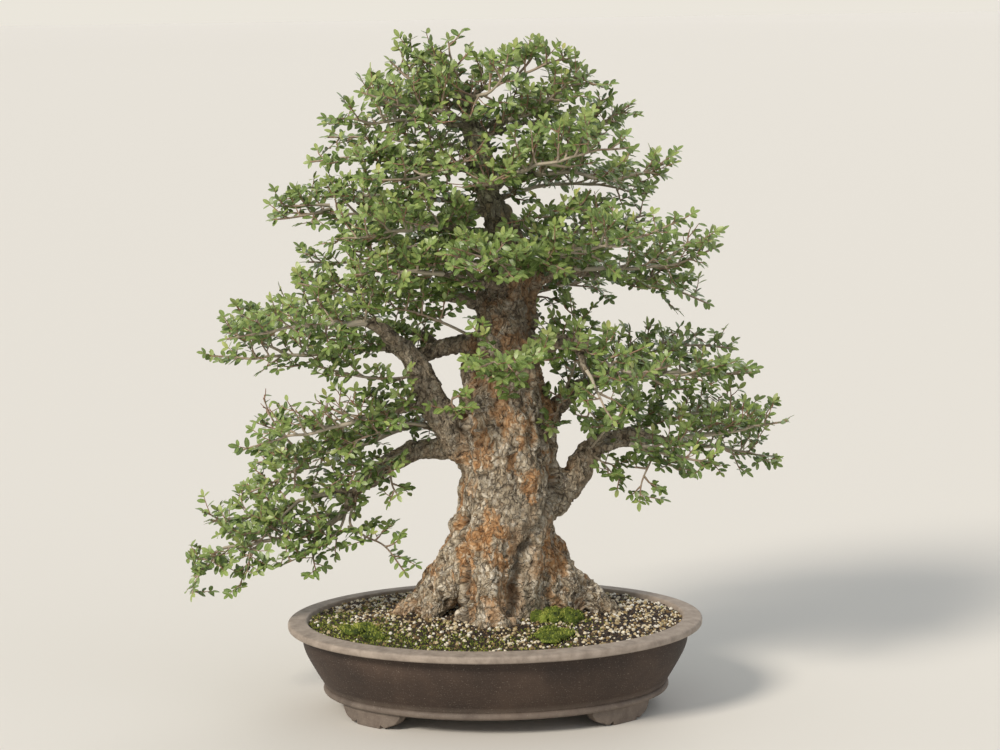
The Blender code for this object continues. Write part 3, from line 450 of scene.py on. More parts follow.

# %% [markdown]
# ## Lines that wood can follow
#
# A listed route is only a few places. A smooth curve through them gives a branch its sweep,
# and a slow wander on top gives it the crooked, knuckled run of elm wood.

# %% Curves and directions
def smooth_line(places, count):
    """Places along a smooth curve through the given ones, ends included."""
    points = [Vector(place) for place in places]
    points = [2 * points[0] - points[1], *points, 2 * points[-1] - points[-2]]
    spans = len(points) - 3
    line = []
    for step in range(count):
        along = step / (count - 1) * spans
        span = min(int(along), spans - 1)
        t = along - span
        a, b, c, d = points[span:span + 4]
        line.append(0.5 * (2 * b + (c - a) * t + (2 * a - 5 * b + 4 * c - d) * t * t
                           + (3 * b - a - 3 * c + d) * t * t * t))
    return line


def line_at(line, share):
    """Place and direction at a share of the way along a line."""
    along = min(max(share, 0.0), 1.0) * (len(line) - 1)
    index = min(int(along), len(line) - 2)
    place = line[index].lerp(line[index + 1], along - index)
    low = max(index - 1, 0)
    return place, (line[min(index + 2, len(line) - 1)] - line[low]).normalized()


def line_length(line):
    return sum((b - a).length for a, b in zip(line, line[1:]))


def side_and_rise(along, level):
    """Two directions square to a direction: as near level as it goes, and upwards."""
    side = (level - along * level.dot(along)).normalized()
    return side, along.cross(side).normalized()


def level_side(line):
    """A level direction square to the whole run of a line."""
    run = (line[-1] - line[0]).normalized()
    up = UP if abs(run.z) < 0.85 else Vector((0, 1, 0))
    return up.cross(run).normalized()


def wandered(line, reach, scale, seed):
    """The line with a slow sideways wander that leaves both ends in place."""
    last = len(line) - 1
    result = []
    for index, place in enumerate(line):
        ease = min(1.0, 4 * index / last, 4 * (last - index) / last)
        drift = noise.noise_vector(place * scale + Vector((seed, 0, 0)))
        result.append(place + drift * reach * ease)
    return result


print("curves ready")

# %% [markdown]
# ## Elm bark
#
# An old Chinese elm sheds its bark in small upright plates. Fresh plates are warm orange where an
# old one has just dropped, and older ones weather to grey and tan. The cracks between them lie in
# shade and are darkened nearly to black with painted shade. One function lays out the plates. The
# geometry tree uses it to raise them, and the material uses it again to colour them, so relief and
# colour agree everywhere. Both read the place on the smooth wood from before it was raised, which
# the mesh carries as "rest".

# %% Bark plates, for geometry and for colour
PLATE_WIDTH = 9 * MM
PLATE_HEIGHT = 17 * MM
FLAKE_SIZE = 3.8 * MM
FURROW_WIDTH = 27 * MM
FURROW_HEIGHT = 130 * MM


def bark_layers(tree, place):
    """Tones of plates and flakes, then how far a place is in a gap between flakes, a crack, a
    pit, a furrow, and a patch where plates fell."""
    bend = add(tree, "TexNoise", {"Vector": place, "Scale": 1 / (11 * MM), "Detail": 3.0,
                                  "Roughness": 0.58})
    drift = add(tree, "VectorMath", (bend.outputs["Color"], (0.5,) * 3), operation="SUBTRACT")
    moved = add(tree, "VectorMath", (drift, (14 * MM,) * 3, place), operation="MULTIPLY_ADD")
    upright, slim, tall, long = [
        add(tree, "VectorMath", (source, (across, across, along)), operation="MULTIPLY")
        for source, across, along in (
            (moved, 1 / PLATE_WIDTH, 1 / PLATE_HEIGHT), (moved, 1.0, 0.6), (moved, 1.0, 0.4),
            (place, 1 / FURROW_WIDTH, 1 / FURROW_HEIGHT))]
    plate = add(tree, "TexVoronoi", {"Vector": upright, "Scale": 1.0})
    edge = add(tree, "TexVoronoi", {"Vector": upright, "Scale": 1.0}, feature="DISTANCE_TO_EDGE")
    flake = add(tree, "TexVoronoi", {"Vector": slim, "Scale": 1 / FLAKE_SIZE})
    tones, chips = [add(tree, "SeparateXYZ", (cell.outputs["Color"],)) for cell in (plate, flake)]
    loose, dots, drifts, furrow = [
        add(tree, "TexNoise", {"Vector": source, "Scale": scale, "Detail": detail})
        for source, scale, detail in (
            (place, 1 / (15 * MM), 2.0), (moved, 1 / (7 * MM), 3.0), (tall, 1 / (20 * MM), 3.0),
            (long, 1.0, 3.0))]
    warm = add(tree, "Math", (tones.outputs["Z"], 0.18, drifts), operation="MULTIPLY_ADD")
    gap, near, lifted, pit, fallen = [
        add(tree, "MapRange", (source, none, full)) for source, none, full in (
            (flake, 0.44, 0.74), (edge, 0.12, 0.01), (loose, 0.38, 0.50), (dots, 0.41, 0.34),
            (warm, 0.568, 0.648))]
    whole = add(tree, "Math", (1.0, fallen), operation="SUBTRACT")
    crack = add(tree, "Math", (near, lifted), operation="MULTIPLY")
    open_crack = add(tree, "Math", (crack, whole), operation="MULTIPLY")
    return tones, chips, gap, open_crack, pit, furrow, fallen


print("bark plates", PLATE_WIDTH / MM, "by", PLATE_HEIGHT / MM, "mm")

# %% Raise the bark
def make_bark_tree():
    """Raise plates and flakes, sink cracks, pits and furrows. Relief and crag scale them."""
    tree, given = new_tree("flaking bark", {"Relief": ("Float", 1.0), "Crag": ("Float", 1.0)})
    rest = add(tree, "GeometryNodeInputPosition")
    kept = add(tree, "GeometryNodeStoreNamedAttribute", {
        "Geometry": given["Geometry"], "Name": "rest", "Value": rest}, data_type="FLOAT_VECTOR")
    tones, chips, _, crack, pit, furrow, fallen = bark_layers(tree, rest)
    small = -0.4 * MM
    for pattern, height in ((fallen, -1.6), (tones.outputs["X"], 2.2), (chips.outputs["Y"], 0.8),
                            (crack, -1.8), (pit, -2.0)):
        small = add(tree, "Math", (pattern, height * MM, small), operation="MULTIPLY_ADD")
    small = add(tree, "Math", (small, given["Relief"]), operation="MULTIPLY")
    lumps = add(tree, "TexNoise", {"Vector": rest, "Scale": 1 / (26 * MM), "Detail": 3.0})
    both = add(tree, "Math", (lumps, 0.5, furrow), operation="MULTIPLY_ADD")
    crags = add(tree, "MapRange", (both, 0.58, 0.92, -7.0 * MM, 4.5 * MM))
    old, seam = [
        add(tree, "GeometryNodeInputNamedAttribute", {"Name": name}, data_type="FLOAT")
        for name in ("old", "seam")]
    share = add(tree, "MapRange", (old, 0.0, 1.0, 0.16, 1.0))
    crag = add(tree, "Math", (share, given["Crag"]), operation="MULTIPLY")
    folded = add(tree, "Math", (small, seam), operation="SUBTRACT")
    large = add(tree, "Math", (crags, crag, folded), operation="MULTIPLY_ADD")
    outward = add(tree, "VectorMath", {0: add(tree, "GeometryNodeInputNormal"), "Scale": large},
                  operation="SCALE")
    return close_tree(tree, given, add(tree, "GeometryNodeSetPosition", {
        "Geometry": kept, "Offset": outward}))


BARK_TREE = make_bark_tree()
print("nodes that raise the bark:", len(BARK_TREE.nodes))

# %% [markdown]
# ## Bark's finish
#
# Elm bark is dry, corky and quite matte. Part of its colour comes from age: each plate has a tone
# of its own, orange gathers in drifts where plates have lately dropped, and higher up the wood is
# greyer and carries pale lichen. The rest is painted light: painted shade darkens the gaps between
# flakes and the cracks, pits, seams and furrows, and the greenish damp wood inside the crown is
# painted paler where the crown shades it. Thin twigs are smooth and reddish brown.

# %% Bark and twig materials
def make_bark():
    """Corky elm bark: matte, grey and tan flakes, orange where plates fell, painted shade in the
    cracks.
    """
    material, tree = new_material("flaking elm bark", 0.86)
    rest = add(tree, "Attribute", attribute_name="rest").outputs["Vector"]
    height = add(tree, "SeparateXYZ", (rest,)).outputs["Z"]
    old, seam = [add(tree, "Attribute", attribute_name=name).outputs["Fac"]
                 for name in ("old", "seam")]
    tones, chips, gap, crack, pit, furrow, fallen = bark_layers(tree, rest)
    worn, spots = [
        add(tree, "TexNoise", {"Vector": rest, "Scale": 1 / size, "Detail": detail,
                               "Roughness": grit})
        for size, detail, grit in ((4.5 * MM, 5.0, 0.66), (8 * MM, 6.0, 0.7))]
    mixed = add(tree, "Math", (chips.outputs["X"], 0.42, worn), operation="MULTIPLY_ADD")
    grey = add(tree, "ValToRGB", (mixed,), stops=[
        (0.38, "#6c5c46"), (0.54, "#98866c"), (0.70, "#b5a68e"), (0.86, "#cbc0ac"),
        (1.0, "#e4dccd")])
    fresh = add(tree, "ValToRGB", (mixed,), stops=[
        (0.40, "#7b522c"), (0.58, "#a57341"), (0.78, "#b98a58"), (1.0, "#cfb08a")])
    # damp is the greenish grey of damp wood in the crown, painted paler there as painted light,
    # because the crown shades it.
    share, high, aged, damp, smooth, lichen, painted_furrow_shade, fold = [
        add(tree, "MapRange", row) for row in (
            (old, 0.0, 1.0, 0.3, 0.86), (height, 0.10, 0.16, 0.45), (height, 0.20, 0.44, 0.0, 0.5),
            (height, 0.50, 0.58, 0.0, 0.75), (old, 0.0, 1.0, 0.5, 0.0),
            (spots, 0.55, 0.66, 0.0, 0.5), (furrow, 0.43, 0.34, 0.0, 0.6),
            (seam, 2.5 * MM, 8 * MM, 0.0, 0.85))]
    older = add(tree, "Math", (share, high), operation="MULTIPLY")
    amount = add(tree, "Math", (fallen, older), operation="MULTIPLY")
    plates = add(tree, "Mix", {0: amount, 6: grey, 7: fresh}, data_type="RGBA")
    # Painted shade: the gaps between flakes, cracks, pits, seams and furrows darken toward near
    # black.
    dark = add(tree, "Math", (gap, 0.4), operation="MULTIPLY")
    for sunk in (crack, pit, fold, painted_furrow_shade):
        dark = add(tree, "Math", (dark, sunk), operation="MAXIMUM")
    painted_crevice_shade = add(tree, "Math", (dark, 0.8), operation="MULTIPLY")
    rough = add(tree, "Math", (chips.outputs["Y"], worn), operation="ADD")
    relief = add(tree, "Math", (rough, gap), operation="SUBTRACT")
    return finish(material, plates, [
        (aged, "#675c4c"), (damp, "#929678"), (smooth, "#9a8f7b"), (lichen, "#aba595"),
        (painted_crevice_shade, "#352a1f")], relief, 1.8 * MM, 1.0)


def make_twig_bark():
    """Young elm bark: smooth and red-brown on thin twigs, grey with lichen on older ones."""
    material, tree = new_material("young elm bark", 0.66)
    place = add(tree, "TexCoord").outputs["Object"]
    thick = add(tree, "Attribute", attribute_name="thick").outputs["Fac"]
    age = add(tree, "ValToRGB", (add(tree, "MapRange", (thick, 0.4 * MM, 2.6 * MM)),), stops=[
        (0.0, "#8c5c46"), (0.25, "#937a65"), (0.55, "#a59a86"), (1.0, "#aea592")])
    spots = add(tree, "TexNoise", {"Vector": place, "Scale": 1 / (4 * MM), "Detail": 4.0})
    lichen = add(tree, "MapRange", (spots, 0.5, 0.64, 0.0, 0.6))
    return finish(material, age, [(lichen, "#b4ad9c")], spots, 0.5 * MM, 0.7)


BARK = make_bark()
TWIG_BARK = make_twig_bark()
print("wood finishes:", BARK.name, "and", TWIG_BARK.name)

# %% [markdown]
# ## Round wood from lines
#
# Roots, limbs and twigs are all lines with a thickness. A chain of edges with a radius at each
# place is the lightest way to hold that, and one geometry tree sweeps a circle along it and closes
# the ends. The number of sides is an input: many on the trunk, three on the thinnest shoots.

# %% Chains of places, thickened by a tree
def chain_mesh(chains):
    """Chains of (place, radius) as edges, with the radius kept on each point."""
    places, radii, edges = [], [], []
    for chain in chains:
        start = len(places)
        places += [place for place, _ in chain]
        radii += [radius for _, radius in chain]
        edges += [(start + step, start + step + 1) for step in range(len(chain) - 1)]
    mesh = bpy.data.meshes.new("chains")
    mesh.from_pydata(places, edges, [])
    mark(mesh, thick=radii)
    return mesh


def make_round_tree():
    tree, given = new_tree("round wood", {"Sides": ("Int", 6)})
    radius = add(tree, "GeometryNodeInputNamedAttribute", {"Name": "thick"}, data_type="FLOAT")
    line = add(tree, "GeometryNodeMeshToCurve", {"Mesh": given["Geometry"]})
    ring = add(tree, "GeometryNodeCurvePrimitiveCircle", {
        "Resolution": given["Sides"], "Radius": 1.0})
    swept = add(tree, "GeometryNodeCurveToMesh", {
        "Curve": line, "Profile Curve": ring, "Scale": radius, "Fill Caps": True})
    return close_tree(tree, given, add(tree, "GeometryNodeSetShadeSmooth", {"Geometry": swept}))


ROUND_TREE = make_round_tree()


def round_wood(chains, sides, material=None):
    return grown(chain_mesh(chains), ROUND_TREE, sides=sides, material=material)


def chain_of(line, root, end, power=0.8):
    """A line as a chain whose radius runs from its root to its end."""
    last = len(line) - 1
    return [(place, root + (end - root) * (index / last) ** power)
            for index, place in enumerate(line)]


print("round wood ready")

# %% [markdown]
# ## The trunk
#
# A trunk isn't a stack of tubes: roots, burls and limbs have grown into each other. Sweeping the
# tubes first, then remeshing them in small cubes and letting the surface relax, fills the crotches
# as wood does. A second, finer remesh gives the bark tree enough points to raise its plates.

# %% Grow the trunk together
COARSE_CUBE = 3.4 * MM
FINE_CUBE = 2.5 * MM
RELAX_STEPS = 5
SEAM_REACH = 10 * MM
OLD_REACH = 19 * MM          # bark is young from this far off the trunk's and the roots' tubes
OLD_FADE = 14 * MM
SWELL = 1.6                  # mm added to thick limbs, which relaxing makes thinner
THICK_TAPER = 1.5            # thick limbs stay thick for most of their bare length


def wood_line(name, count):
    """The bare wood of a limb, from inside the trunk to where its leaves begin."""
    _, _, bare, route = LIMBS[name]
    full = smooth_line(route[:bare + 1], 2 * bare + 1)[:2 * bare - 1]
    return [place * MM for place in smooth_line(full, count)]


def trunk_chains():
    chains = []
    for route in [TRUNK_LINE, *ROOTS.values()]:
        count = 6 * len(route)
        line = [place * MM for place in smooth_line([place[:3] for place in route], count)]
        widths = smooth_line([(place[3], 0, 0) for place in route], count)
        radii = [value.x * MM for value in widths]
        chains.append(list(zip(line, radii)))
    for order, (name, (root, end, _, _)) in enumerate(LIMBS.items()):
        if root > THICK_LIMB:
            line = wandered(wood_line(name, 26), 5 * MM, 34, order)
            chains.append(chain_of(line, (root + SWELL) * MM, (end + SWELL) * MM, THICK_TAPER))
    return chains


print("thick limbs:", sum(limb[0] > THICK_LIMB for limb in LIMBS.values()))

# %% Old wood and seams
def finder(rows):
    """A tree that finds the nearest of rows of (place, value)."""
    near = KDTree(len(rows))
    for index, (place, _) in enumerate(rows):
        near.insert(place, index)
    near.balance()
    return near


def mark_old_wood(mesh, chains):
    """Gives each place its share of old wood: 1 on trunk and roots, fading to 0 on the limbs."""
    rows = [row for chain in chains for row in chain]
    near = finder(rows)
    shares = []
    for vertex in mesh.vertices:
        out = min(away - rows[index][1] for _, index, away in near.find_n(vertex.co, 5))
        shares.append(min(1.0, max(0.0, (OLD_REACH - out) / OLD_FADE)))
    mark(mesh, old=shares)


def mark_seams(mesh):
    """Gives each place how far it is drawn in by a seam beside it."""
    rows = [(place * MM, depth * MM) for depth, route in SEAMS
            for place in smooth_line(route, 12 * len(route))]
    near = finder(rows)
    depths = []
    for vertex in mesh.vertices:
        stray = noise.noise_vector(vertex.co / (13 * MM)) * 6 * MM
        _, index, away = near.find(vertex.co + stray)
        uneven = 0.85 + 0.7 * noise.noise(vertex.co / (16 * MM))
        depths.append(rows[index][1] * uneven * max(0.0, 1 - (away / SEAM_REACH) ** 2))
    mark(mesh, seam=depths)


print("seams:", len(SEAMS), "up to", max(depth for depth, _ in SEAMS), "mm deep")

# %% One skin over all of it
def make_trunk():
    shape = bmesh.new()
    chains = trunk_chains()
    shape.from_mesh(round_wood(chains, 24))
    for x, y, z, radius in BURLS + TOES:
        bmesh.ops.create_icosphere(shape, subdivisions=3, radius=radius * MM,
                                   matrix=Matrix.Translation(Vector((x, y, z)) * MM))
    obj = put("trunk body", mesh_of(shape, "trunk"))
    for size, steps in ((COARSE_CUBE, RELAX_STEPS), (FINE_CUBE, 1)):
        remesh = obj.modifiers.new("grow together", "REMESH")
        remesh.mode = "VOXEL"
        remesh.voxel_size = size
        remesh.use_smooth_shade = True
        obj.modifiers.new("relax", "SMOOTH").iterations = steps
    body = settled(obj)
    mark_old_wood(body, chains[:1 + len(ROOTS)])
    mark_seams(body)
    return put("flaking_trunk", grown(body, BARK_TREE, relief=1.0, crag=1.0, material=BARK))


trunk = dress(make_trunk(), "bark", "trunk")
TRUNK_TREE = BVHTree.FromPolygons([v.co for v in trunk.data.vertices],
                                  [f.vertices[:] for f in trunk.data.polygons])
print("trunk triangles:", COUNTS["flaking_trunk"])

# %% [markdown]
# ## Thinner limbs
#
# Limbs as thin as a pencil keep their own tubes, which start inside the trunk. The same bark tree
# roughens them, at a lower relief, because plates on young wood are thin.

# %% Sweep and roughen the limbs
def make_limbs():
    chains = []
    for order, (name, (root, end, _, _)) in enumerate(LIMBS.items()):
        if root <= THICK_LIMB:
            length = line_length(wood_line(name, 12))
            line = wandered(wood_line(name, max(8, round(length / (3.2 * MM)))), 5 * MM, 34, order)
            chains.append(chain_of(line, root * MM, end * MM))
    wood = round_wood(chains, 12)
    return put("limbs", grown(wood, BARK_TREE, relief=0.5, crag=0.8, material=BARK))


dress(make_limbs(), "bark", "trunk")
print("limb triangles:", COUNTS["limbs"])

# %% [markdown]
# ## The leaf
#
# A Chinese elm leaf is a centimetre or so long, glossy, and a little folded along its rib. Its
# teeth are finer than a pixel here, so the edge is a plain rounded one. The leaf is repeated
# thousands of times, so it has only two dozen faces: a closed lens whose top and underside share
# the edge. It carries a map of its own, across and along the blade, which the material uses to
# draw the rib and the veins.

# %% One leaf, and the tree that sets leaves
LEAF_LENGTH = 11.4 * MM
LEAF_FOLD = 0.20             # how far the edges stand above the rib, as a share of the half width
LEAF_BOW = 0.10              # how far the tip bends down, as a share of the length
LEAF_THICKNESS = 0.5 * MM
# The edge of one side: share of the length, half width as a share of the length
LEAF_EDGE = [(0.07, 0.12), (0.32, 0.245), (0.66, 0.245), (0.91, 0.12)]
LEAF_RIB = [0.28, 0.66]


def make_leaf():
    """One blade with its base at the origin, its tip along X and its top along Z."""
    shape = bmesh.new()
    across = shape.verts.layers.float_vector.new("blade")

    def corner(along, width, lift, face):
        fold = abs(width) * LEAF_FOLD
        bow = -LEAF_BOW * along * along
        vertex = shape.verts.new(Vector((along, width, fold + bow)) * LEAF_LENGTH + UP * lift)
        vertex[across] = Vector((width * 3.4, along, face))
        return vertex

    base = corner(-0.06, 0.0, 0.0, 0.0)
    tip = corner(1.0, 0.0, 0.0, 0.0)
    sides = {s: [corner(along, s * width, 0.0, 0.0) for along, width in LEAF_EDGE] for s in (1, -1)}
    rib = [corner(along, 0.0, LEAF_THICKNESS / 2, 1.0) for along in LEAF_RIB]
    for edge in sides.values():
        for middle, ring in ((rib[0], [base, *edge[:2]]), (rib[1], [*edge[1:], tip])):
            for one, two in zip(ring, ring[1:]):
                shape.faces.new((middle, one, two))
        shape.faces.new((rib[0], edge[1], rib[1]))
    below = corner(0.47, 0.0, -LEAF_THICKNESS / 2, -1.0)
    ring = [base, *sides[1], tip, *reversed(sides[-1]), base]
    for one, two in zip(ring, ring[1:]):
        shape.faces.new((below, one, two))
    bmesh.ops.recalc_face_normals(shape, faces=shape.faces)
    for polygon in shape.faces:
        polygon.smooth = True
    mesh = mesh_of(shape, "leaf")
    mesh.set_sharp_from_angle(angle=math.radians(55))
    return mesh


def make_leaf_tree():
    """Set a leaf on each point by the turn, size and tone that the point carries."""
    tree, given = new_tree("two ranks of leaves", {"Leaf": ("Object", None)})
    blade = add(tree, "GeometryNodeObjectInfo", {"Object": given["Leaf"]})
    turn, size = [
        add(tree, "GeometryNodeInputNamedAttribute", {"Name": name}, data_type=kind)
        for name, kind in (("turn", "FLOAT_VECTOR"), ("size", "FLOAT"))]
    return close_tree(tree, given, add(tree, "GeometryNodeInstanceOnPoints", {
        "Points": given["Geometry"], "Instance": blade.outputs["Geometry"],
        "Rotation": add(tree, "FunctionNodeEulerToRotation", (turn,)), "Scale": size}))


leaf = put("leaf pattern", make_leaf())
LEAF_TREE = make_leaf_tree()
print("faces on one leaf:", len(leaf.data.polygons))

# %% [markdown]
# ## The leaf's finish
#
# Elm leaves are waxy, so they keep soft highlights over a rather deep green. New leaves at the tips
# are paler and yellower, and leaves at the ends of sprays and on rising shoots are painted paler as
# painted light. The underside is dull and light, and a pale rib and side veins show from close up.
# All of it is drawn from the leaf's own map, so that it follows each leaf's turn.

# %% Leaf material
VEINS = 9                    # side veins on each half of the blade


def make_leaf_finish():
    """Waxy elm leaf: soft highlights, a green that pales at the tips, and fine veins."""
    material, tree = new_material("waxy elm leaf", 0.36)
    tone = add(tree, "Attribute", attribute_name="tone").outputs["Fac"]
    blade = add(tree, "Attribute", attribute_name="blade").outputs["Vector"]
    across, along, face = add(tree, "SeparateXYZ", (blade,)).outputs
    place = add(tree, "TexCoord").outputs["Object"]
    green = add(tree, "ValToRGB", (tone,), stops=[
        (0.0, "#3a4c21"), (0.35, "#586f33"), (0.65, "#758945"), (0.85, "#94a15a"),
        (1.0, "#b2b168")])
    cloud = add(tree, "TexNoise", {"Vector": place, "Scale": 1 / (6 * MM), "Detail": 3.0})
    shade = add(tree, "MapRange", (cloud, 0.3, 0.7, 0.8, 1.18))
    varied = add(tree, "VectorMath", {0: green, "Scale": shade}, operation="SCALE")
    aside = add(tree, "Math", (across,), operation="ABSOLUTE")
    rib = add(tree, "MapRange", (aside, 0.03, 0.10, 0.55, 0.0))
    slant = add(tree, "Math", (aside, -0.22, along), operation="MULTIPLY_ADD")
    beat = add(tree, "Math", (slant, 1 / VEINS), operation="PINGPONG")
    vein = add(tree, "MapRange", (beat, 0.006, 0.022, 0.3, 0.0))
    lines = add(tree, "Math", (rib, vein), operation="MAXIMUM")
    under = add(tree, "MapRange", (face, -0.05, -0.3, 0.0, 0.55))
    return finish(material, varied, [(lines, "#a9c07a"), (under, "#8fa473")], lines, 0.2 * MM, 0.5,
                  invert=True)


LEAF = make_leaf_finish()
print("leaf finish:", LEAF.name)

# %% [markdown]
# ## How a spray branches
#
# Elm twigs divide in two ranks, left and right, and the ends lift to the light. So a spray is grown
# by rule from its main twig: side branches leave it in turn, lean forward, and rise a little; short
# shoots leave those in the same way; and each shoot carries its leaves left and right, and three
# at its tip. The draws are seeded, so the tree is the same each time.

# %% Spacing, gaps and sprouts
BRANCH_SPACING = 11.5 * MM
SHOOT_SPACING = 9.7 * MM
LEAF_SPACING = 5.4 * MM
PAD_REACH = 54 * MM           # the longest side branches
# Tones: higher is paler. They stand partly for young growth and partly for painted light: leaves at
# the ends of sprays are painted paler than those on the shoots inside.
TWIG_TONE, BRANCH_TONE, SHOOT_TONE = 0.45, 0.38, 0.30     # how young the leaves on each look
TIP_TONE, PAIR_TONE = 0.3, 0.24           # how much younger the leaf at a tip and its pair look
LOWEST_LEAF = 100 * MM        # just above the soil
ROOM_LOW, ROOM_HIGH = 8 * MM, 6 * MM      # how far leaves may stand past the solid tree's box
SPRAY_SEED, GAP_SEED = 500, 900
# Gaps between the pads: the share of leaves left out, and the two corners of the gap
CLEARINGS = [
    (0.6, (-45, -200, 575), (12, -8, 705)), (0.7, (-290, -200, 330), (-130, 200, 362)),
    (0.6, (-101, -200, 232), (-73, 200, 262)), (0.5, (93, -200, 566), (120, 200, 594)),
    (0.5, (203, -200, 512), (231, 200, 538)), (0.5, (203, -200, 398), (231, 200, 426)),
    (0.5, (259, -200, 313), (286, 200, 341)), (0.4, (203, -200, 285), (231, 200, 313)),
]
LEAF_SPLAY = math.radians(60)
FRONT_LIGHT = Vector((0, -0.5, 0))        # the tree is shown with its front to the light
# Short leafy twigs that sprout from the trunk and limbs: radius at both ends, and the route
SPROUTS = {
    "frond": (1.8, 0.8, [(-214, 20, 284), (-230, 10, 304), (-242, 0, 326), (-250, -4, 349)]),
    "hanging": (1.8, 0.8, [(-157, 12, 221), (-158, 0, 205), (-142, -6, 193), (-120, -10, 182),
        (-99, -14, 154)]),
    "low_fill": (2, 0.8, [(-215, 15, 231), (-238, 0, 211), (-263, -10, 182), (-281, -15, 142)]),
    "mid_fill": (2.2, 1, [(-80, -18, 377), (-99, -30, 372), (-130, -50, 376), (-162, -60, 384),
        (-185, -70, 392)]),
    "low_back_fill": (2, 1, [(-101, 34, 304), (-145, 0, 304), (-189, -10, 289), (-228, -15, 263),
        (-266, -20, 247)]),
    "right_under": (1.8, 0.8, [(185, 14, 292), (173, -10, 272), (163, -20, 252), (160, -25, 230)]),
    "right_sprout": (1.8, 0.8, [(80, 30, 345), (91, -10, 381), (93, -15, 414), (90, -20, 450)]),
    "right_inner": (2, 0.8, [(108, 6, 285), (124, -30, 312), (136, -50, 326), (146, -60, 349)]),
    "trunk_sprout": (1.6, 0.8, [(9, -40, 351), (15, -70, 361), (18, -90, 373), (15, -100, 385)]),
    "crotch_sprout": (1.6, 0.8, [(-40, -15, 353), (-43, -50, 348), (-39, -60, 341)]),
    "front_left_high": (2.4, 1, [(2, -10, 495), (-21, -50, 499), (-42, -80, 502),
        (-67, -110, 500)]),
    "front_right_high": (2.4, 1, [(24, -10, 494), (43, -50, 502), (59, -80, 501),
        (79, -110, 495)]),
    "front_crown": (2, 0.8, [(-8, -5, 600), (-17, -40, 609), (-23, -70, 609), (-34, -100, 603)]),
    "near_low_left": (2, 0.8, [(-73, -12, 317), (-95, -30, 322), (-116, -40, 317),
        (-141, -45, 309), (-167, -50, 298)]),
    "near_low_left_under": (2, 0.8, [(-92, 10, 287), (-110, -10, 281), (-132, -20, 276),
        (-156, -30, 267), (-182, -35, 253)]),
    "near_low_left_end": (2, 0.8, [(-108, 15, 276), (-112, -10, 267), (-110, -20, 252),
        (-104, -30, 243)]),
    "low_left_middle": (2, 0.8, [(-164, 20, 217), (-170, 0, 201), (-186, -10, 187),
        (-211, -20, 175), (-235, -30, 166)]),
    "under_left_upper": (2, 0.8, [(-23, -10, 415), (-44, -40, 430), (-70, -60, 444),
        (-95, -80, 453), (-118, -90, 452)]),
    "left_high_tip": (2, 0.8, [(-171, -20, 560), (-192, -25, 561), (-210, -25, 560),
        (-224, -25, 560)]),
    "right_inner_high": (2, 0.8, [(14, 0, 527), (34, -12, 537), (60, -30, 548), (89, -50, 555),
        (118, -60, 551)]),
    "right_tip_rise": (2, 0.8, [(191, -4, 491), (207, -10, 507), (223, -15, 516),
        (240, -20, 516)]),
    "right_inner_hang": (2, 0.8, [(92, 30, 353), (77, 0, 341), (70, -20, 327), (65, -30, 313)]),
    "right_inner_rise": (2, 0.8, [(104, 30, 364), (92, -10, 388), (82, -20, 407), (71, -20, 421)]),
    "right_white_inner": (2, 0.8, [(58, -50, 409), (74, -80, 409), (94, -90, 408),
        (117, -100, 407)]),
    "right_lower_end": (2, 0.8, [(186, 20, 365), (207, 0, 366), (228, -10, 373), (251, -20, 379)]),
    "lowest_right_hang": (2, 0.8, [(108, 12, 280), (120, -10, 273), (130, -20, 263),
        (141, -20, 252)]),
    "lowest_right_low": (2, 0.8, [(163, 14, 295), (178, -10, 278), (196, -20, 269),
        (216, -20, 264)]),
    "peak_left_rise": (2, 0.8, [(-23, 0, 670), (-37, -20, 692), (-51, -30, 709), (-62, -30, 726)]),
    "peak_left_back": (2, 0.8, [(-51, 0, 680), (-63, 10, 700), (-77, 20, 715), (-88, 20, 726)]),
    "peak_right_rise": (2, 0.8, [(16, -8, 691), (44, -20, 699), (68, -20, 709), (89, -20, 713)]),
    "peak_right_low": (2, 0.8, [(50, -16, 656), (78, -20, 679), (100, -20, 686), (118, -20, 685)]),
    "right_inner_low": (2, 0.8, [(104, 30, 350), (108, 0, 342), (106, -20, 330), (100, -30, 318)]),
    "left_main_rise": (2, 0.8, [(-220, -4, 395), (-240, -20, 408), (-262, -25, 418),
        (-285, -25, 424)]),
    "left_high_low": (2, 0.8, [(-171, -20, 556), (-190, -30, 552), (-212, -30, 548),
        (-232, -30, 546)]),
    "crown_right_tip": (2, 0.8, [(153, -12, 587), (172, -20, 590), (189, -20, 586)]),
    "crown_left_low": (2, 0.8, [(-40, -50, 530), (-74, -40, 518), (-101, -50, 513),
        (-127, -60, 512), (-153, -70, 516)]),
}
print("sprouts:", len(SPROUTS), "gaps:", len(CLEARINGS))

# %% What one spray grows
def frame_at(along, normal):
    """A turn with X along a direction and Z as near to a normal as it can be."""
    along = along.normalized()
    side = normal.cross(along).normalized()
    return Matrix((along, side, along.cross(side))).transposed().to_euler()


def crooked(base, aim, length, lift, draw, steps, waver):
    """A little branch from a base: it wavers, and lifts to the light."""
    places = [base]
    heading = aim.normalized()
    for _ in range(steps):
        heading = heading + UP * lift + Vector([draw.gauss(0, waver) for _ in range(3)])
        heading.normalize()
        places.append(places[-1] + heading * length / steps)
    return places


def inside_wood(place):
    """Whether the way up from a place leaves the trunk, so that the place is in it."""
    surface, normal, _, _ = TRUNK_TREE.ray_cast(place, UP)
    return surface is not None and normal.z > 0


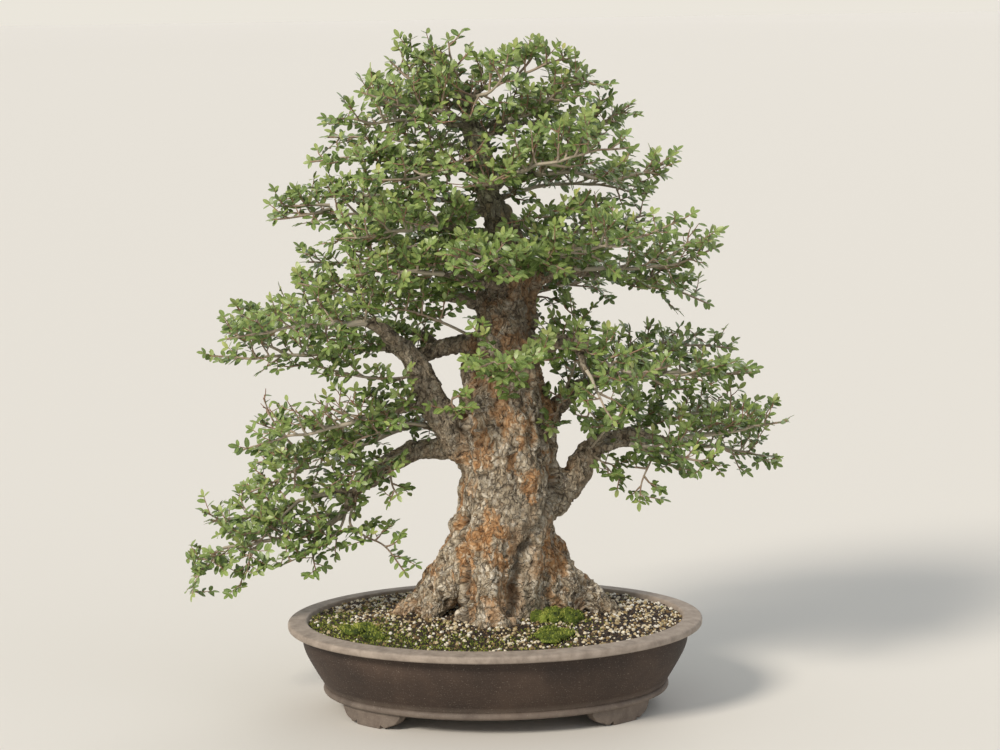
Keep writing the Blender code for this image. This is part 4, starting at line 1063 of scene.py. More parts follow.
class Spray:
    """What one spray grows: wood and shoots as chains, and its leaves."""

    def __init__(self, order):
        self.draw = random.Random(SPRAY_SEED + order)
        self.thin_out = random.Random(GAP_SEED + order)
        self.wood, self.shoots, self.leaves = [], [], []
        self.low = Vector(CAD_BOX[0]) - Vector((ROOM_LOW,) * 3)
        self.high = Vector(CAD_BOX[1]) + Vector((ROOM_HIGH,) * 3)

    def scatter(self, spread):
        return Vector([self.draw.gauss(0, spread) for _ in range(3)])

    def in_room(self, place):
        return all(l < v < h for l, v, h in zip(self.low, place, self.high))

    def in_clearing(self, place):
        for share, low, high in CLEARINGS:
            if all(l * MM < v < h * MM for l, v, h in zip(low, place, high)):
                return self.thin_out.random() < share
        return False

    def set_leaf(self, base, along, facing, size, tone):
        if self.in_clearing(base):
            return
        reach = along * LEAF_LENGTH * size
        clear = self.in_room(base + reach) and base.z + reach.z > LOWEST_LEAF
        if clear and not inside_wood(base + reach * 0.5):
            self.leaves.append((base, frame_at(along, facing), size, tone))

    def leaf_up(self, places, start, tone):
        """Leaves along a twig, left and right in turn, and three spread wide at its end."""
        draw = self.draw
        length = line_length(places)
        outward = Vector((places[0].x, places[0].y, 0)).normalized()
        facing = UP * draw.uniform(0.6, 1.1) + outward * draw.uniform(-0.1, 0.7) + FRONT_LIGHT
        facing = (facing + self.scatter(0.3)).normalized()
        at = start
        hand = draw.choice((1, -1))
        while at < length - 2.5 * MM:
            share = at / length
            place, along = line_at(places, share)
            side = facing.cross(along).normalized()
            splay = LEAF_SPLAY + draw.gauss(0, 0.18)
            aim = (along * math.cos(splay) + side * hand * math.sin(splay)
                   + facing * draw.gauss(0.05, 0.16))
            fullest_midway = 0.82 + 0.18 * math.sin(math.pi * min(1, share * 1.2))
            size = draw.uniform(0.80, 1.12) * fullest_midway
            self.set_leaf(place, aim.normalized(), facing + self.scatter(0.28), size,
                          tone + 0.12 * share + draw.gauss(0, 0.09))
            hand = -hand
            at += LEAF_SPACING * draw.uniform(0.85, 1.2)
        place, along = line_at(places, 1.0)
        self.set_leaf(place, along, facing, draw.uniform(0.7, 0.95),
                      tone + TIP_TONE + draw.gauss(0, 0.08))
        side = facing.cross(along).normalized()
        for hand in (1, -1):
            aim = along * draw.uniform(0.2, 0.55) + side * hand + facing * draw.uniform(0, 0.3)
            self.set_leaf(place - along * 1.2 * MM, aim.normalized(), facing + self.scatter(0.2),
                          draw.uniform(0.65, 0.9), tone + PAIR_TONE + draw.gauss(0, 0.08))

    def grow(self, line, root, end, first, reach):
        """Branch in two ranks along a main twig, from a share of its length on."""
        draw = self.draw
        length = line_length(line)
        self.wood.append(chain_of(line, root, end, 0.7))
        self.leaf_up(line[-len(line) // 5:], 2 * MM, TWIG_TONE)
        level = level_side(line)
        at = first * length + draw.uniform(0, 0.5) * BRANCH_SPACING
        hand = draw.choice((1, -1))
        while at < length - 3 * MM:
            share = at / length
            place, along = line_at(line, share)
            side, rise = side_and_rise(along, level)
            slope = draw.uniform(-0.75, 1.15)
            out = side * hand * math.cos(slope) + rise * math.sin(slope)
            aim = along * draw.uniform(0.3, 0.8) + out
            span = reach * (0.38 + 0.62 * min(1.0, (1 - share) * 2.0)) * draw.uniform(0.72, 1.12)
            self.branch(place, aim, span)
            hand = -hand
            at += BRANCH_SPACING * draw.uniform(0.75, 1.25)

    def branch(self, base, aim, span):
        """A side branch with its shoots."""
        draw = self.draw
        line = crooked(base, aim, span, 0.06, draw, 6, 0.13)
        if not self.in_room(line[-1]):
            line = [base + (place - base) * 0.5 for place in line]
        if not self.in_room(line[-1]):
            return
        self.wood.append(chain_of(line, 0.9 * MM + 0.018 * span, 0.55 * MM))
        self.leaf_up(line, span * draw.uniform(0.35, 0.55), BRANCH_TONE)
        at = draw.uniform(0.3, 0.9) * SHOOT_SPACING
        hand = draw.choice((1, -1))
        while at < span - 4 * MM:
            place, along = line_at(line, at / span)
            side = UP.cross(along).normalized()
            slope = draw.uniform(-0.55, 1.2)
            out = side * hand * math.cos(slope) + UP * math.sin(slope)
            length = draw.uniform(12, 29) * MM * (1 - 0.35 * at / span)
            aim = along * draw.uniform(0.3, 0.9) + out
            shoot = crooked(place, aim, length, 0.10, draw, 2, 0.14)
            if self.in_room(shoot[-1]):
                self.shoots.append(chain_of(shoot, 0.7 * MM, 0.45 * MM))
                # Shoots that rise get paler leaves: painted light, as more light falls on them.
                self.leaf_up(shoot, 3.5 * MM, SHOOT_TONE + 0.25 * max(0.0, math.sin(slope)))
            hand = -hand
            at += SHOOT_SPACING * draw.uniform(0.8, 1.25)


print("leaves every", LEAF_SPACING / MM, "mm, shoots every", SHOOT_SPACING / MM, "mm")

# %% Grow every spray
TWIG_PLACES = 61


def spray_line(name):
    """The spray's bare wood, and its leafy twig, which stops short of the tip leaf."""
    bare, route = LIMBS[name][2:]
    wood = wood_line(name, 12)
    leafy = [place * MM for place in smooth_line([wood[-1] / MM, *route[bare:]], TWIG_PLACES)]
    kept = 1 - 0.8 * LEAF_LENGTH / line_length(leafy)
    return wood, wandered(leafy[:max(8, round(TWIG_PLACES * kept))], 4 * MM, 40, len(name))


def point_cloud(leaves):
    """Places for leaves, each with its turn, size and tone."""
    bases, turns, sizes, tones = zip(*leaves)
    mesh = bpy.data.meshes.new("leaf places")
    mesh.from_pydata(bases, [], [])
    mark(mesh, "FLOAT_VECTOR", "vector", turn=[value for turn in turns for value in turn])
    mark(mesh, size=sizes, tone=tones)
    return mesh


def together(meshes, name):
    """Several meshes as one."""
    shape = bmesh.new()
    for mesh in meshes:
        shape.from_mesh(mesh)
    return mesh_of(shape, name)


def show(spray, name, *nodes):
    """Turn what a spray has grown into its two pieces."""
    wood = round_wood(spray.wood, 4, TWIG_BARK)
    shoots = round_wood(spray.shoots, 3, TWIG_BARK)
    dress(put("twigs_" + name, together([wood, shoots], "twigs"), TWIG_BARK), "bark", *nodes)
    leaves = grown(point_cloud(spray.leaves), LEAF_TREE, leaf=leaf, material=LEAF)
    dress(put("leaves_" + name, leaves), "leaf", *nodes)
    return len(spray.leaves)


def make_spray(name, order):
    spray = Spray(order)
    wood, line = spray_line(name)
    reach = min(PAD_REACH, 17 * MM + 0.27 * line_length(line))
    spray.grow(line, LIMBS[name][1] * MM, 1.0 * MM, 0.0, reach)
    inner = INNER_LIMBS.get(name, INNER_SHARE if wood[0].z > INNER_FROM else 1.0)
    at = inner * line_length(wood)
    while at < line_length(wood):
        place, along = line_at(wood, at / line_length(wood))
        side = UP.cross(along).normalized() * spray.draw.choice((1, -1))
        spray.branch(place, side + UP * spray.draw.uniform(-0.6, 1.1) + along * 0.3,
                     spray.draw.uniform(24, 40) * MM)
        at += BRANCH_SPACING
    return show(spray, name, "spray_" + name)


def make_sprouts():
    spray = Spray(len(LIMBS))
    for root, end, route in SPROUTS.values():
        line = [place * MM for place in smooth_line(route, 31)]
        reach = 10 * MM + 0.24 * line_length(line)
        spray.grow(line, root * MM, end * MM, 0.25, reach)
    return show(spray, "sprouts")


INNER_FROM = 0.43            # above this height leaves also grow on the limbs near the trunk
INNER_SHARE = 0.4
INNER_LIMBS = {              # lower limbs that are leafy from this share of their bare wood on
    "low_left_drop": 0.6, "low_left_back": 0.35, "low_left_front": 0.45, "left_main": 0.45,
    "left_back": 0.3, "low_right_main": 0.45, "low_right_back": 0.3, "lowest_right_back": 0.4,
}
leaf_count = sum(make_spray(name, order) for order, name in enumerate(LIMBS)) + make_sprouts()
bpy.data.objects.remove(leaf)
print("leaves:", leaf_count, "triangles so far:", sum(COUNTS.values()))

# %% [markdown]
# ## The pot
#
# The pot is an oval of unglazed stoneware: a broad rolled rim, a wall that curves in, a half-round
# belt and four cloud feet. Turning a profile gives a round pot, and pushing every place outwards
# along the long axis by the same amount draws it to an oval with an even wall. The corners of the
# profile are eased first, because a potter's sponge leaves no sharp edge.

# %% The pot's sizes and profile
RIM_HALF_LENGTH = 0.230
RIM_HALF_DEPTH = 0.177
STRETCH = RIM_HALF_LENGTH - RIM_HALF_DEPTH
POT_TURNS = 132
HOLE_RADIUS = 12 * MM
HOLE_X = 85 * MM
POT_FLOOR = 26 * MM
POT_UNDERSIDE = 17.5 * MM
FOOT_ANGLE = 0.72
FOOT_HALF_ANGLE = 0.26
FOOT_OUTER, FOOT_INNER = 133.8 * MM, 119 * MM
SOIL_EDGE = 96.2 * MM
SOIL_RADIUS = 153.2 * MM
FOOT_TOP = 20.5 * MM
SAME_PLACE = 0.01 * MM       # points closer than this are one


def eased(profile, ease, steps=5):
    """A profile of (radius, height) with each corner rounded."""
    result = [Vector(profile[0])]
    for before, middle, after in zip(profile, profile[1:], profile[2:]):
        a, c, b = Vector(before), Vector(middle), Vector(after)
        start = c + (a - c).normalized() * min(ease, (a - c).length * 0.45)
        end = c + (b - c).normalized() * min(ease, (b - c).length * 0.45)
        for step in range(steps + 1):
            t = step / steps
            result.append(start.lerp(c, t).lerp(c.lerp(end, t), t))
    return [*result, Vector(profile[-1])]


def turned_oval(profile, turns):
    """A closed body from a profile at +X, turned and drawn out to the pot's oval."""
    mesh = bpy.data.meshes.new("profile")
    mesh.from_pydata([(radius, 0, height) for radius, height in profile],
                     [(step, step + 1) for step in range(len(profile) - 1)], [])
    obj = put("profile", mesh)
    screw = obj.modifiers.new("turn", "SCREW")
    screw.steps = screw.render_steps = turns
    screw.use_merge_vertices = True
    screw.merge_threshold = SAME_PLACE
    shape = bmesh.new()
    shape.from_mesh(settled(obj))
    bmesh.ops.remove_doubles(shape, verts=shape.verts, dist=SAME_PLACE)
    bmesh.ops.recalc_face_normals(shape, faces=shape.faces)
    for vertex in shape.verts:
        radius = math.hypot(vertex.co.x, vertex.co.y)
        if radius > HOLE_RADIUS:
            vertex.co.x += STRETCH * vertex.co.x / radius
    return mesh_of(shape, "turned oval")


def pot_profile():
    """The inner floor, over the rim, and down to the underside."""
    wall = smooth_line([(0.1618, 0.0884, 0), (0.1595, 0.070, 0), (0.1507, 0.051, 0),
                        (0.1362, 0.0262, 0)], 22)
    belt = [(0.1362 + 0.0030 * math.sin(t), 0.0226 + 0.0036 * math.cos(t))
            for t in [math.pi * step / 10 for step in range(11)]]
    inner = [(0.0, POT_FLOOR), (0.130, POT_FLOOR), (0.1435, 0.051), (0.1535, 0.0915),
             (0.1560, 0.0998), (0.1755, 0.0984), (0.177, 0.0965), (0.1768, 0.0915),
             (0.1748, 0.0900), (0.1618, 0.0884), (0.1614, 0.0840)]
    outer = [(place.x, place.y) for place in wall[3:-1]]
    return eased(inner, 2.2 * MM) + outer + belt + [(0.1325, POT_UNDERSIDE), (0.0, POT_UNDERSIDE)]


print("pot profile points:", len(pot_profile()))

# %% Feet and drainage holes
def foot_height(across):
    """The scalloped lower edge of a cloud foot, from -1 at one end to 1 at the other."""
    reach = abs(across)
    if reach < 0.40:
        return 0.0
    if reach < 0.70:
        return (1.6 + 2.6 * abs(math.cos(math.pi * (reach - 0.40) / 0.30)) ** 3) * MM
    end = (reach - 0.70) / 0.30
    return (4.2 + 10.5 * end - 2.6 * math.sin(math.pi * end)) * MM


def foot_mesh(middle):
    """A cloud foot that follows the oval, lofted from rounded upright sections."""
    shape = bmesh.new()
    rings = []
    for step in range(61):
        across = step / 30 - 1
        angle = middle + across * FOOT_HALF_ANGLE
        low = min(foot_height(across), POT_UNDERSIDE)
        plan = eased([(FOOT_OUTER, FOOT_TOP), (FOOT_OUTER - 0.6 * MM, low), (FOOT_INNER, low),
                      (FOOT_INNER, FOOT_TOP)], 1.6 * MM, 4)
        rings.append([shape.verts.new((
            (radius + STRETCH) * math.cos(angle), radius * math.sin(angle), height))
            for radius, height in plan])
    for one, two in zip(rings, rings[1:]):
        for index in range(len(one)):
            after = (index + 1) % len(one)
            shape.faces.new((one[index], one[after], two[after], two[index]))
    shape.faces.new(rings[0])
    shape.faces.new(reversed(rings[-1]))
    bmesh.ops.recalc_face_normals(shape, faces=shape.faces)
    return mesh_of(shape, "foot")


def joined_pot():
    """Wall and feet as one body, with the two drainage holes."""
    body = put("pot body", turned_oval(pot_profile(), POT_TURNS))
    tools = [("UNION", put("foot", foot_mesh(turn))) for turn in (
        FOOT_ANGLE, math.pi - FOOT_ANGLE, math.pi + FOOT_ANGLE, -FOOT_ANGLE)]
    for x in (-HOLE_X, HOLE_X):
        shape = bmesh.new()
        bmesh.ops.create_cone(shape, cap_ends=True, segments=40, radius1=HOLE_RADIUS,
                              radius2=HOLE_RADIUS, depth=30 * MM,
                              matrix=Matrix.Translation((x, 0, POT_FLOOR)))
        tools.append(("DIFFERENCE", put("drain", mesh_of(shape, "drain"))))
    for operation, tool in tools:
        step = body.modifiers.new(operation.lower(), "BOOLEAN")
        step.operation = operation
        step.object = tool
    mesh = settled(body)
    for _, tool in tools:
        bpy.data.objects.remove(tool)
    mesh.shade_smooth()
    mesh.set_sharp_from_angle(angle=math.radians(38))
    return mesh


print("foot, highest and lowest edge:", foot_height(1.0) / MM, foot_height(0.0) / MM, "mm")

# %% [markdown]
# ## Unglazed stoneware
#
# The clay is brown stoneware, fired without glaze and gone grey with weather on the rim and belt,
# where water dries and leaves its salts. It is matte; the rim's lighter colour also holds a painted
# sheen. Fine grit and shallow wiping marks run round it.

# %% Clay material, and the pot itself
def make_clay():
    """Unglazed stoneware: matte brown, grey where salts dry on rim and belt, a painted sheen on the
    rim, finely gritty.
    """
    material, tree = new_material("unglazed stoneware", 0.72)
    place = add(tree, "TexCoord").outputs["Object"]
    height = add(tree, "SeparateXYZ", (place,)).outputs["Z"]
    level = add(tree, "Mapping", {"Vector": place, "Scale": (1.0, 1.0, 9.0)})
    clouds, blot, grit, wiped = [
        add(tree, "TexNoise", {"Vector": source, "Scale": 1 / size, "Detail": detail,
                               "Roughness": rough})
        for source, size, detail, rough in (
            (place, 60 * MM, 5.0, 0.5), (place, 14 * MM, 6.0, 0.65), (place, 1.3 * MM, 2.0, 0.5),
            (level, 28 * MM, 4.0, 0.5))]
    brown = add(tree, "ValToRGB", (clouds,), stops=[
        (0.3, "#2e231c"), (0.5, "#3c2e25"), (0.7, "#4b3b30")])
    # The rim is painted lighter by its height: partly the grey of dried salts, partly a painted
    # sheen. The belt and feet take only the salts' grey.
    rim, foot, worn, specks = [add(tree, "MapRange", row) for row in (
        (height, 0.0885, 0.0915, 0.0, 0.85), (height, 0.034, 0.022, 0.0, 0.36),
        (blot, 0.32, 0.62, 0.55, 1.0), (grit, 0.62, 0.72, 0.0, 0.35))]
    bare = add(tree, "Math", (rim, foot), operation="MAXIMUM")
    amount = add(tree, "Math", (bare, worn), operation="MULTIPLY")
    relief = add(tree, "Math", (grit, 0.25, wiped), operation="MULTIPLY_ADD")
    return finish(material, brown, [(amount, "#ada093"), (specks, "#a3978a")], relief,
                  0.8 * MM, 0.5)


CLAY = make_clay()
dress(put("stoneware_pot", joined_pot(), CLAY), "clay", "pot")
print("pot triangles:", COUNTS["stoneware_pot"])

# %% [markdown]
# ## Drainage screens
#
# Under the soil, a square of plastic netting lies over each hole so that the gravel stays in. It
# is a grid with its meshes cut out, thickened to the plate that the solid stands for.

# %% Netting over the holes
NET_HALF = 18 * MM
NET_STRAND = 1.4 * MM
NET_HEIGHT = POT_FLOOR + 0.3 * MM


def make_screen(name, x):
    shape = bmesh.new()
    bmesh.ops.create_grid(shape, x_segments=9, y_segments=9, size=NET_HALF)
    meshes = bmesh.ops.inset_individual(shape, faces=shape.faces[:], thickness=NET_STRAND / 2)
    inner = [face for face in shape.faces if face not in set(meshes["faces"])]
    bmesh.ops.delete(shape, geom=inner, context="FACES_ONLY")
    bmesh.ops.remove_doubles(shape, verts=shape.verts, dist=SAME_PLACE)
    bmesh.ops.translate(shape, verts=shape.verts, vec=(x, 0, NET_HEIGHT))
    obj = put(name, mesh_of(shape, name))
    wall = obj.modifiers.new("wall", "SOLIDIFY")
    wall.thickness = 1 * MM
    wall.offset = 1.0
    return put(name, settled(obj), PLASTIC)


def make_plastic():
    """Moulded polyethylene: black, a little shiny, and scuffed by the grit."""
    material, tree = new_material("moulded polyethylene net", 0.45)
    place = add(tree, "TexCoord").outputs["Object"]
    scuff = add(tree, "TexNoise", {"Vector": place, "Scale": 1 / (2 * MM)})
    return finish(material, add(tree, "ValToRGB", (scuff,), stops=[
        (0.3, "#1d1d1d"), (0.7, "#2c2b29")]))


PLASTIC = make_plastic()
for side, x in (("left", -HOLE_X), ("right", HOLE_X)):
    dress(make_screen("net_" + side, x), "screen", "drain_screen_" + side)
print("screens of", COUNTS["net_left"], "triangles")

# %% [markdown]
# ## Soil and gravel
#
# Bonsai soil is mostly mineral: dark crumbs with cream, tan and white pumice of 2 to 6 mm. The
# dark mass is a lumpy surface, and the grains are strewn on it by a tree of nodes, thinner where
# moss grows and none where the trunk stands. A few grain shapes, turned every way, are enough.

# %% The dark mass
def soil_height(x, y):
    reach = math.hypot(x / (RIM_HALF_LENGTH - 24 * MM), y / SOIL_RADIUS)
    mound = SOIL_EDGE + 11 * MM * max(0.0, 1 - reach * reach)
    return mound + 1.6 * MM * noise.noise(Vector((x, y, 0)) * 38)


def make_soil():
    rings = [SOIL_RADIUS * step / 50 for step in range(51)]
    floor = POT_FLOOR + 0.3 * MM
    wall = [(153.0 * MM, SOIL_EDGE - 4 * MM), (143.2 * MM, 51 * MM), (129.7 * MM, floor)]
    profile = [(radius, SOIL_EDGE) for radius in rings] + wall + [(0.0, floor)]
    mesh = turned_oval(profile, 150)
    for vertex in mesh.vertices:
        x, y, z = vertex.co
        if abs(z - SOIL_EDGE) < 1e-6:
            crumb = noise.noise(Vector((x, y, 0)) / (3.4 * MM)) * 1.3
            crumb += noise.noise(Vector((x, y, 5)) / (9 * MM))
            vertex.co.z = soil_height(x, y) - 1.2 * MM + crumb * MM
    mesh.shade_smooth()
    return mesh


def make_earth():
    """Dark, damp, open soil: matte, with brown and nearly black crumbs."""
    material, tree = new_material("damp mineral soil", 0.92)
    place = add(tree, "TexCoord").outputs["Object"]
    crumbs = add(tree, "TexVoronoi", {"Vector": place, "Scale": 1 / (2.6 * MM)})
    pick = add(tree, "SeparateXYZ", (crumbs.outputs["Color"],))
    tone = add(tree, "ValToRGB", (pick,), stops=[
        (0.0, "#18120d"), (0.5, "#2c2118"), (0.85, "#403124"), (1.0, "#604c36")])
    return finish(material, tone, (), crumbs, 1.0 * MM, 0.9, invert=True)


EARTH = make_earth()
soil = dress(put("soil_mass", make_soil(), EARTH), "soil", "soil")
print("soil triangles:", COUNTS["soil_mass"])

# %% [markdown]
# ## Where things lie on the soil
#
# Grains must not be strewn inside the trunk, and moss keeps to its own places: two cushions right
# of the front root, one at the left rim, and thin patches along the front-left rim. So each place
# on a copy of the soil's surface is given two numbers: how bare it is, and how mossy.

# %% Bare and mossy places
# Moss cushions: centre x, y, half length, half depth, height, turn in degrees
MOSSES = {
    "moss_by_root": (66, -38, 34, 19, 12, -8),
    "moss_front": (62, -98, 20, 26, 5, 12),
    "moss_left": (-146, -60, 40, 17, 6, -52),
}


def cushions_away(x, y):
    """How far the nearest moss cushion is: 0 at its middle, 1 on its edge."""
    shares = []
    for cx, cy, half_length, half_depth, _, turn in MOSSES.values():
        away = Matrix.Rotation(-math.radians(turn), 2) @ Vector((x / MM - cx, y / MM - cy))
        shares.append(math.hypot(away.x / half_length, away.y / half_depth))
    return min(shares)


def moss_cover(x, y):
    """How mossy a place is, from 0 to 1: most along the front-left rim and by the cushions."""
    rim = math.hypot(x / (SOIL_RADIUS + STRETCH), y / SOIL_RADIUS)
    angle = math.atan2(y / SOIL_RADIUS, x / (SOIL_RADIUS + STRETCH))
    left_front = max(0.0, math.cos(angle + 2.35)) ** 1.5
    patch = noise.noise(Vector((x, y, 3)) / (17 * MM))
    patch += 0.5 * noise.noise(Vector((x, y, 9)) / (6 * MM))
    fringe = 0.5 * max(0.0, 1.7 - cushions_away(x, y))
    cover = left_front * (rim - 0.35) * 1.5 + 0.42 * patch - 0.12 + fringe
    return min(1.0, max(0.0, 1.5 * cover))


def surface_copy():
    """The soil's top with how bare and how mossy each place is."""
    mesh = soil.data.copy()
    shape = bmesh.new()
    shape.from_mesh(mesh)
    low = [face for face in shape.faces
           if face.normal.z < 0.3 or face.calc_center_median().z < 85 * MM]
    bmesh.ops.delete(shape, geom=low, context="FACES")
    shape.to_mesh(mesh)
    shape.free()
    bare, mossy = [], []
    for vertex in mesh.vertices:
        x, y, z = vertex.co
        free = not inside_wood(vertex.co + UP * 1 * MM)
        cushion = cushions_away(x, y) < 0.6
        cover = moss_cover(x, y) if free and not cushion else 0.0
        bare.append(1.0 - 0.75 * cover if free and not cushion else 0.0)
        mossy.append(cover)
    mark(mesh, bare=bare, mossy=mossy)
    return mesh


SOIL_TOP = surface_copy()
print("places on the soil:", len(SOIL_TOP.vertices))

# %% Grain shapes and the strewing tree
HALF_TURN = 3.1416
TONE_SEED = 7


def make_grain(seed, facets):
    """An angular crumb of stone, about one unit across."""
    draw = random.Random(seed)
    shape = bmesh.new()
    bmesh.ops.create_uvsphere(shape, u_segments=facets, v_segments=facets - 2, radius=0.5)
    flat = Vector((draw.uniform(0.85, 1.2), draw.uniform(0.75, 1.0), draw.uniform(0.6, 0.85)))
    for vertex in shape.verts:
        swell = 1 + 0.38 * noise.noise(vertex.co * 2.6 + Vector((seed, 0, 0)))
        vertex.co = vertex.co * flat * swell
    mesh = mesh_of(shape, "grain")
    mesh.shade_smooth()
    mesh.set_sharp_from_angle(angle=math.radians(48))
    return put(f"grain {seed}", mesh)


def make_strew_tree():
    """Strew shapes from a collection on a surface, by a named density and size range."""
    tree, given = new_tree("strewn gravel", {
        "Shapes": ("Collection", None), "Where": ("String", "bare"),
        "Per Metre": ("Float", 20000.0), "Smallest": ("Float", 2 * MM),
        "Largest": ("Float", 6 * MM), "Tilt": ("Float", HALF_TURN), "Seed": ("Int", 1)})
    seed, tilt = given["Seed"], given["Tilt"]
    where = add(tree, "GeometryNodeInputNamedAttribute", {"Name": given["Where"]},
                data_type="FLOAT")
    density = add(tree, "Math", (where, given["Per Metre"]), operation="MULTIPLY")
    points = add(tree, "GeometryNodeDistributePointsOnFaces", {
        "Mesh": given["Geometry"], "Density": density, "Seed": seed})
    shapes = add(tree, "GeometryNodeCollectionInfo", {
        "Collection": given["Shapes"], "Separate Children": True, "Reset Children": True})
    back = add(tree, "Math", (tilt, -1.0), operation="MULTIPLY")
    turn = add(tree, "FunctionNodeRandomValue", {
        "Min": add(tree, "CombineXYZ", (back, back, -HALF_TURN)),
        "Max": add(tree, "CombineXYZ", (tilt, tilt, HALF_TURN)),
        "Seed": seed}, data_type="FLOAT_VECTOR")
    chance, tone = [add(tree, "FunctionNodeRandomValue", {"Seed": start}, data_type="FLOAT")
                    for start in (seed, TONE_SEED)]
    more_small = add(tree, "Math", (chance, 1.8), operation="POWER")
    size = add(tree, "MapRange", (more_small, 0.0, 1.0, given["Smallest"], given["Largest"]))
    strewn = add(tree, "GeometryNodeInstanceOnPoints", {
        "Points": points, "Instance": shapes, "Pick Instance": True,
        "Rotation": turn, "Scale": size})
    return close_tree(tree, given, add(tree, "GeometryNodeStoreNamedAttribute", {
        "Geometry": strewn, "Name": "tone", "Value": tone}, data_type="FLOAT", domain="INSTANCE"))


def shelf(name, shapes):
    """A collection of pattern shapes that the strewing tree picks from."""
    collection = bpy.data.collections.new(name)
    for obj in shapes:
        bpy.context.scene.collection.objects.unlink(obj)
        collection.objects.link(obj)
    return collection


STREW_TREE = make_strew_tree()
GRAINS = shelf("grains", [make_grain(seed, 5 + seed % 2) for seed in (3, 8, 10, 14)])
CRUMBS = shelf("crumbs", [make_grain(seed, 5) for seed in (21, 22, 25)])

# %% Pumice and crumb materials, and the strewing
def make_stone(name, stops, roughness):
    """Porous volcanic grit: matte, each grain its own colour, with darker pores."""
    material, tree = new_material(name, roughness)
    place = add(tree, "TexCoord").outputs["Object"]
    tone = add(tree, "Attribute", attribute_name="tone").outputs["Fac"]
    colour = add(tree, "ValToRGB", (tone,), stops=stops)
    pores = add(tree, "TexNoise", {"Vector": place, "Scale": 1 / (0.9 * MM), "Detail": 3.0})
    shade = add(tree, "MapRange", (pores, 0.3, 0.65, 0.62, 1.08))
    pitted = add(tree, "VectorMath", {0: colour, "Scale": shade}, operation="SCALE")
    return finish(material, pitted, (), pores, 0.4 * MM, 0.8)


PUMICE = make_stone("weathered pumice", [(0.0, "#6b5537"), (0.2, "#9c8559"), (0.45, "#cab88f"),
                                         (0.7, "#e5dbc2"), (1.0, "#f7f3e9")], 0.85)
LAVA = make_stone("dark lava grit", [(0.0, "#1b1512"), (0.5, "#33271d"), (0.8, "#4d3a28"),
                                     (1.0, "#7b6040")], 0.88)
strewings = [
    ("pumice_grains", GRAINS, PUMICE, 37000.0, 2.4, 6.4, 1),
    ("lava_crumbs", CRUMBS, LAVA, 21000.0, 2.2, 4.6, 2),
]
for name, shapes, material, density, smallest, largest, seed in strewings:
    mesh = grown(SOIL_TOP.copy(), STREW_TREE, shapes=shapes, where="bare", per_metre=density,
                 smallest=smallest * MM, largest=largest * MM, seed=seed, material=material)
    dress(put(name, mesh), "soil")
    print(name, "triangles:", COUNTS[name])

# %% [markdown]
# ## Moss
#
# Moss is thousands of tiny upright shoots, so a smooth green lump never looks right. Each cushion
# is a group of low mounds, and the strewing tree plants little tufts on them and, thinly, on the
# soil along the rim. A tuft is three leaning spikes, which is enough at this size.

# %% Tufts and cushions
MOUNDS = 9
TUFT_TILT = 0.6              # radians that a tuft leans at most
GOLDEN_TURN = 2.4            # radians between one mound and the next, which never line up


def make_tuft(seed):
    """Three leaning spikes, one unit tall."""
    draw = random.Random(seed)
    shape = bmesh.new()
    for index in range(3):
        turn = index * math.tau / 3 + draw.uniform(-0.4, 0.4)
        lean = Matrix.Rotation(turn, 4, "Z") @ Matrix.Rotation(draw.uniform(0.3, 0.75), 4, "Y")
        height = draw.uniform(0.7, 1.0)
        bmesh.ops.create_cone(shape, cap_ends=True, segments=3, radius1=0.17, radius2=0.03,
                              depth=height, matrix=lean @ Matrix.Translation((0, 0, height * 0.4)))
    return put(f"tuft {seed}", mesh_of(shape, "tuft"))


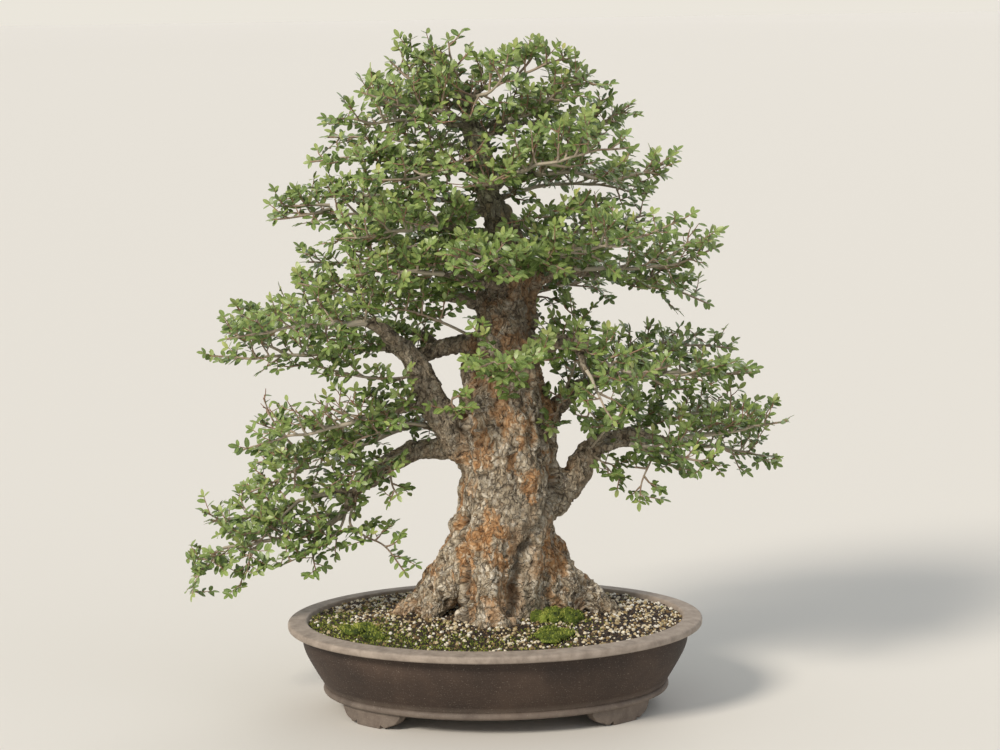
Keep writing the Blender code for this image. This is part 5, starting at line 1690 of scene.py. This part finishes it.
def make_cushion(name):
    """Small lumpy mounds that have grown into each other, with their feet in the soil."""
    x, y, half_length, half_depth, height, turn = MOSSES[name]
    draw = random.Random(round(x))
    place = Matrix.Rotation(math.radians(turn), 4, "Z")
    shape = bmesh.new()
    for index in range(MOUNDS):
        out = 0.82 * math.sqrt(index / MOUNDS)
        angle = index * GOLDEN_TURN + draw.uniform(-0.4, 0.4)
        middle = place @ Vector((out * half_length * math.cos(angle),
                                 out * half_depth * math.sin(angle), 0)) * MM
        middle += Vector((x, y, 0)) * MM
        middle.z = soil_height(middle.x, middle.y)
        radius = draw.uniform(0.42, 0.62) * min(half_length, half_depth) * MM
        made = bmesh.ops.create_icosphere(shape, subdivisions=2, radius=1.0)
        for vertex in made["verts"]:
            swell = 1 + 0.6 * noise.noise(vertex.co * 1.9 + Vector((x, y, index)))
            rise = (1.0 - 0.45 * out) * height * MM * max(vertex.co.z, -0.4)
            vertex.co = middle + Vector((
                vertex.co.x * radius * swell, vertex.co.y * radius * swell, rise * swell))
    mesh = mesh_of(shape, name)
    mesh.shade_smooth()
    mark(mesh, lush=[float(v.co.z > soil_height(v.co.x, v.co.y) - 1 * MM) for v in mesh.vertices])
    return mesh


print("mounds in a cushion:", MOUNDS)

# %% Moss finish, and the planting
def make_moss_finish():
    """Living moss: soft and matte, yellow-green at the tips and deep green between."""
    material, tree = new_material("living moss", 0.9)
    place = add(tree, "TexCoord").outputs["Object"]
    tone = add(tree, "Attribute", attribute_name="tone").outputs["Fac"]
    drifts = add(tree, "TexNoise", {"Vector": place, "Scale": 1 / (12 * MM), "Detail": 3.0})
    mixed = add(tree, "Math", (tone, 0.45, drifts), operation="MULTIPLY_ADD")
    green = add(tree, "ValToRGB", (mixed,), stops=[
        (0.35, "#2b370f"), (0.6, "#58681e"), (0.8, "#8f9b3e"), (1.0, "#c0c264")])
    nap = add(tree, "TexNoise", {"Vector": place, "Scale": 1 / (1.5 * MM)})
    return finish(material, green, (), nap, 0.8 * MM, 0.8)


MOSS = make_moss_finish()
TUFTS = shelf("tufts", [make_tuft(seed) for seed in (31, 32, 33)])
for order, name in enumerate(MOSSES):
    cushion = make_cushion(name)
    tufts = grown(cushion.copy(), STREW_TREE, shapes=TUFTS, where="lush", per_metre=190000.0,
                  smallest=1.5 * MM, largest=3.1 * MM, tilt=TUFT_TILT, seed=order + 5,
                  material=MOSS)
    piece = put(name.replace("moss", "cushion"), together([cushion, tufts], name), MOSS)
    dress(piece, "moss", name)
patches = grown(SOIL_TOP.copy(), STREW_TREE, shapes=TUFTS, where="mossy", per_metre=155000.0,
                smallest=1.5 * MM, largest=3.6 * MM, tilt=TUFT_TILT, seed=11, material=MOSS)
dress(put("moss_patches", patches), "moss")
for collection in (GRAINS, CRUMBS, TUFTS):
    for obj in list(collection.objects):
        bpy.data.objects.remove(obj)
    bpy.data.collections.remove(collection)
print("moss triangles:", COUNTS["moss_patches"], "all triangles:", sum(COUNTS.values()))
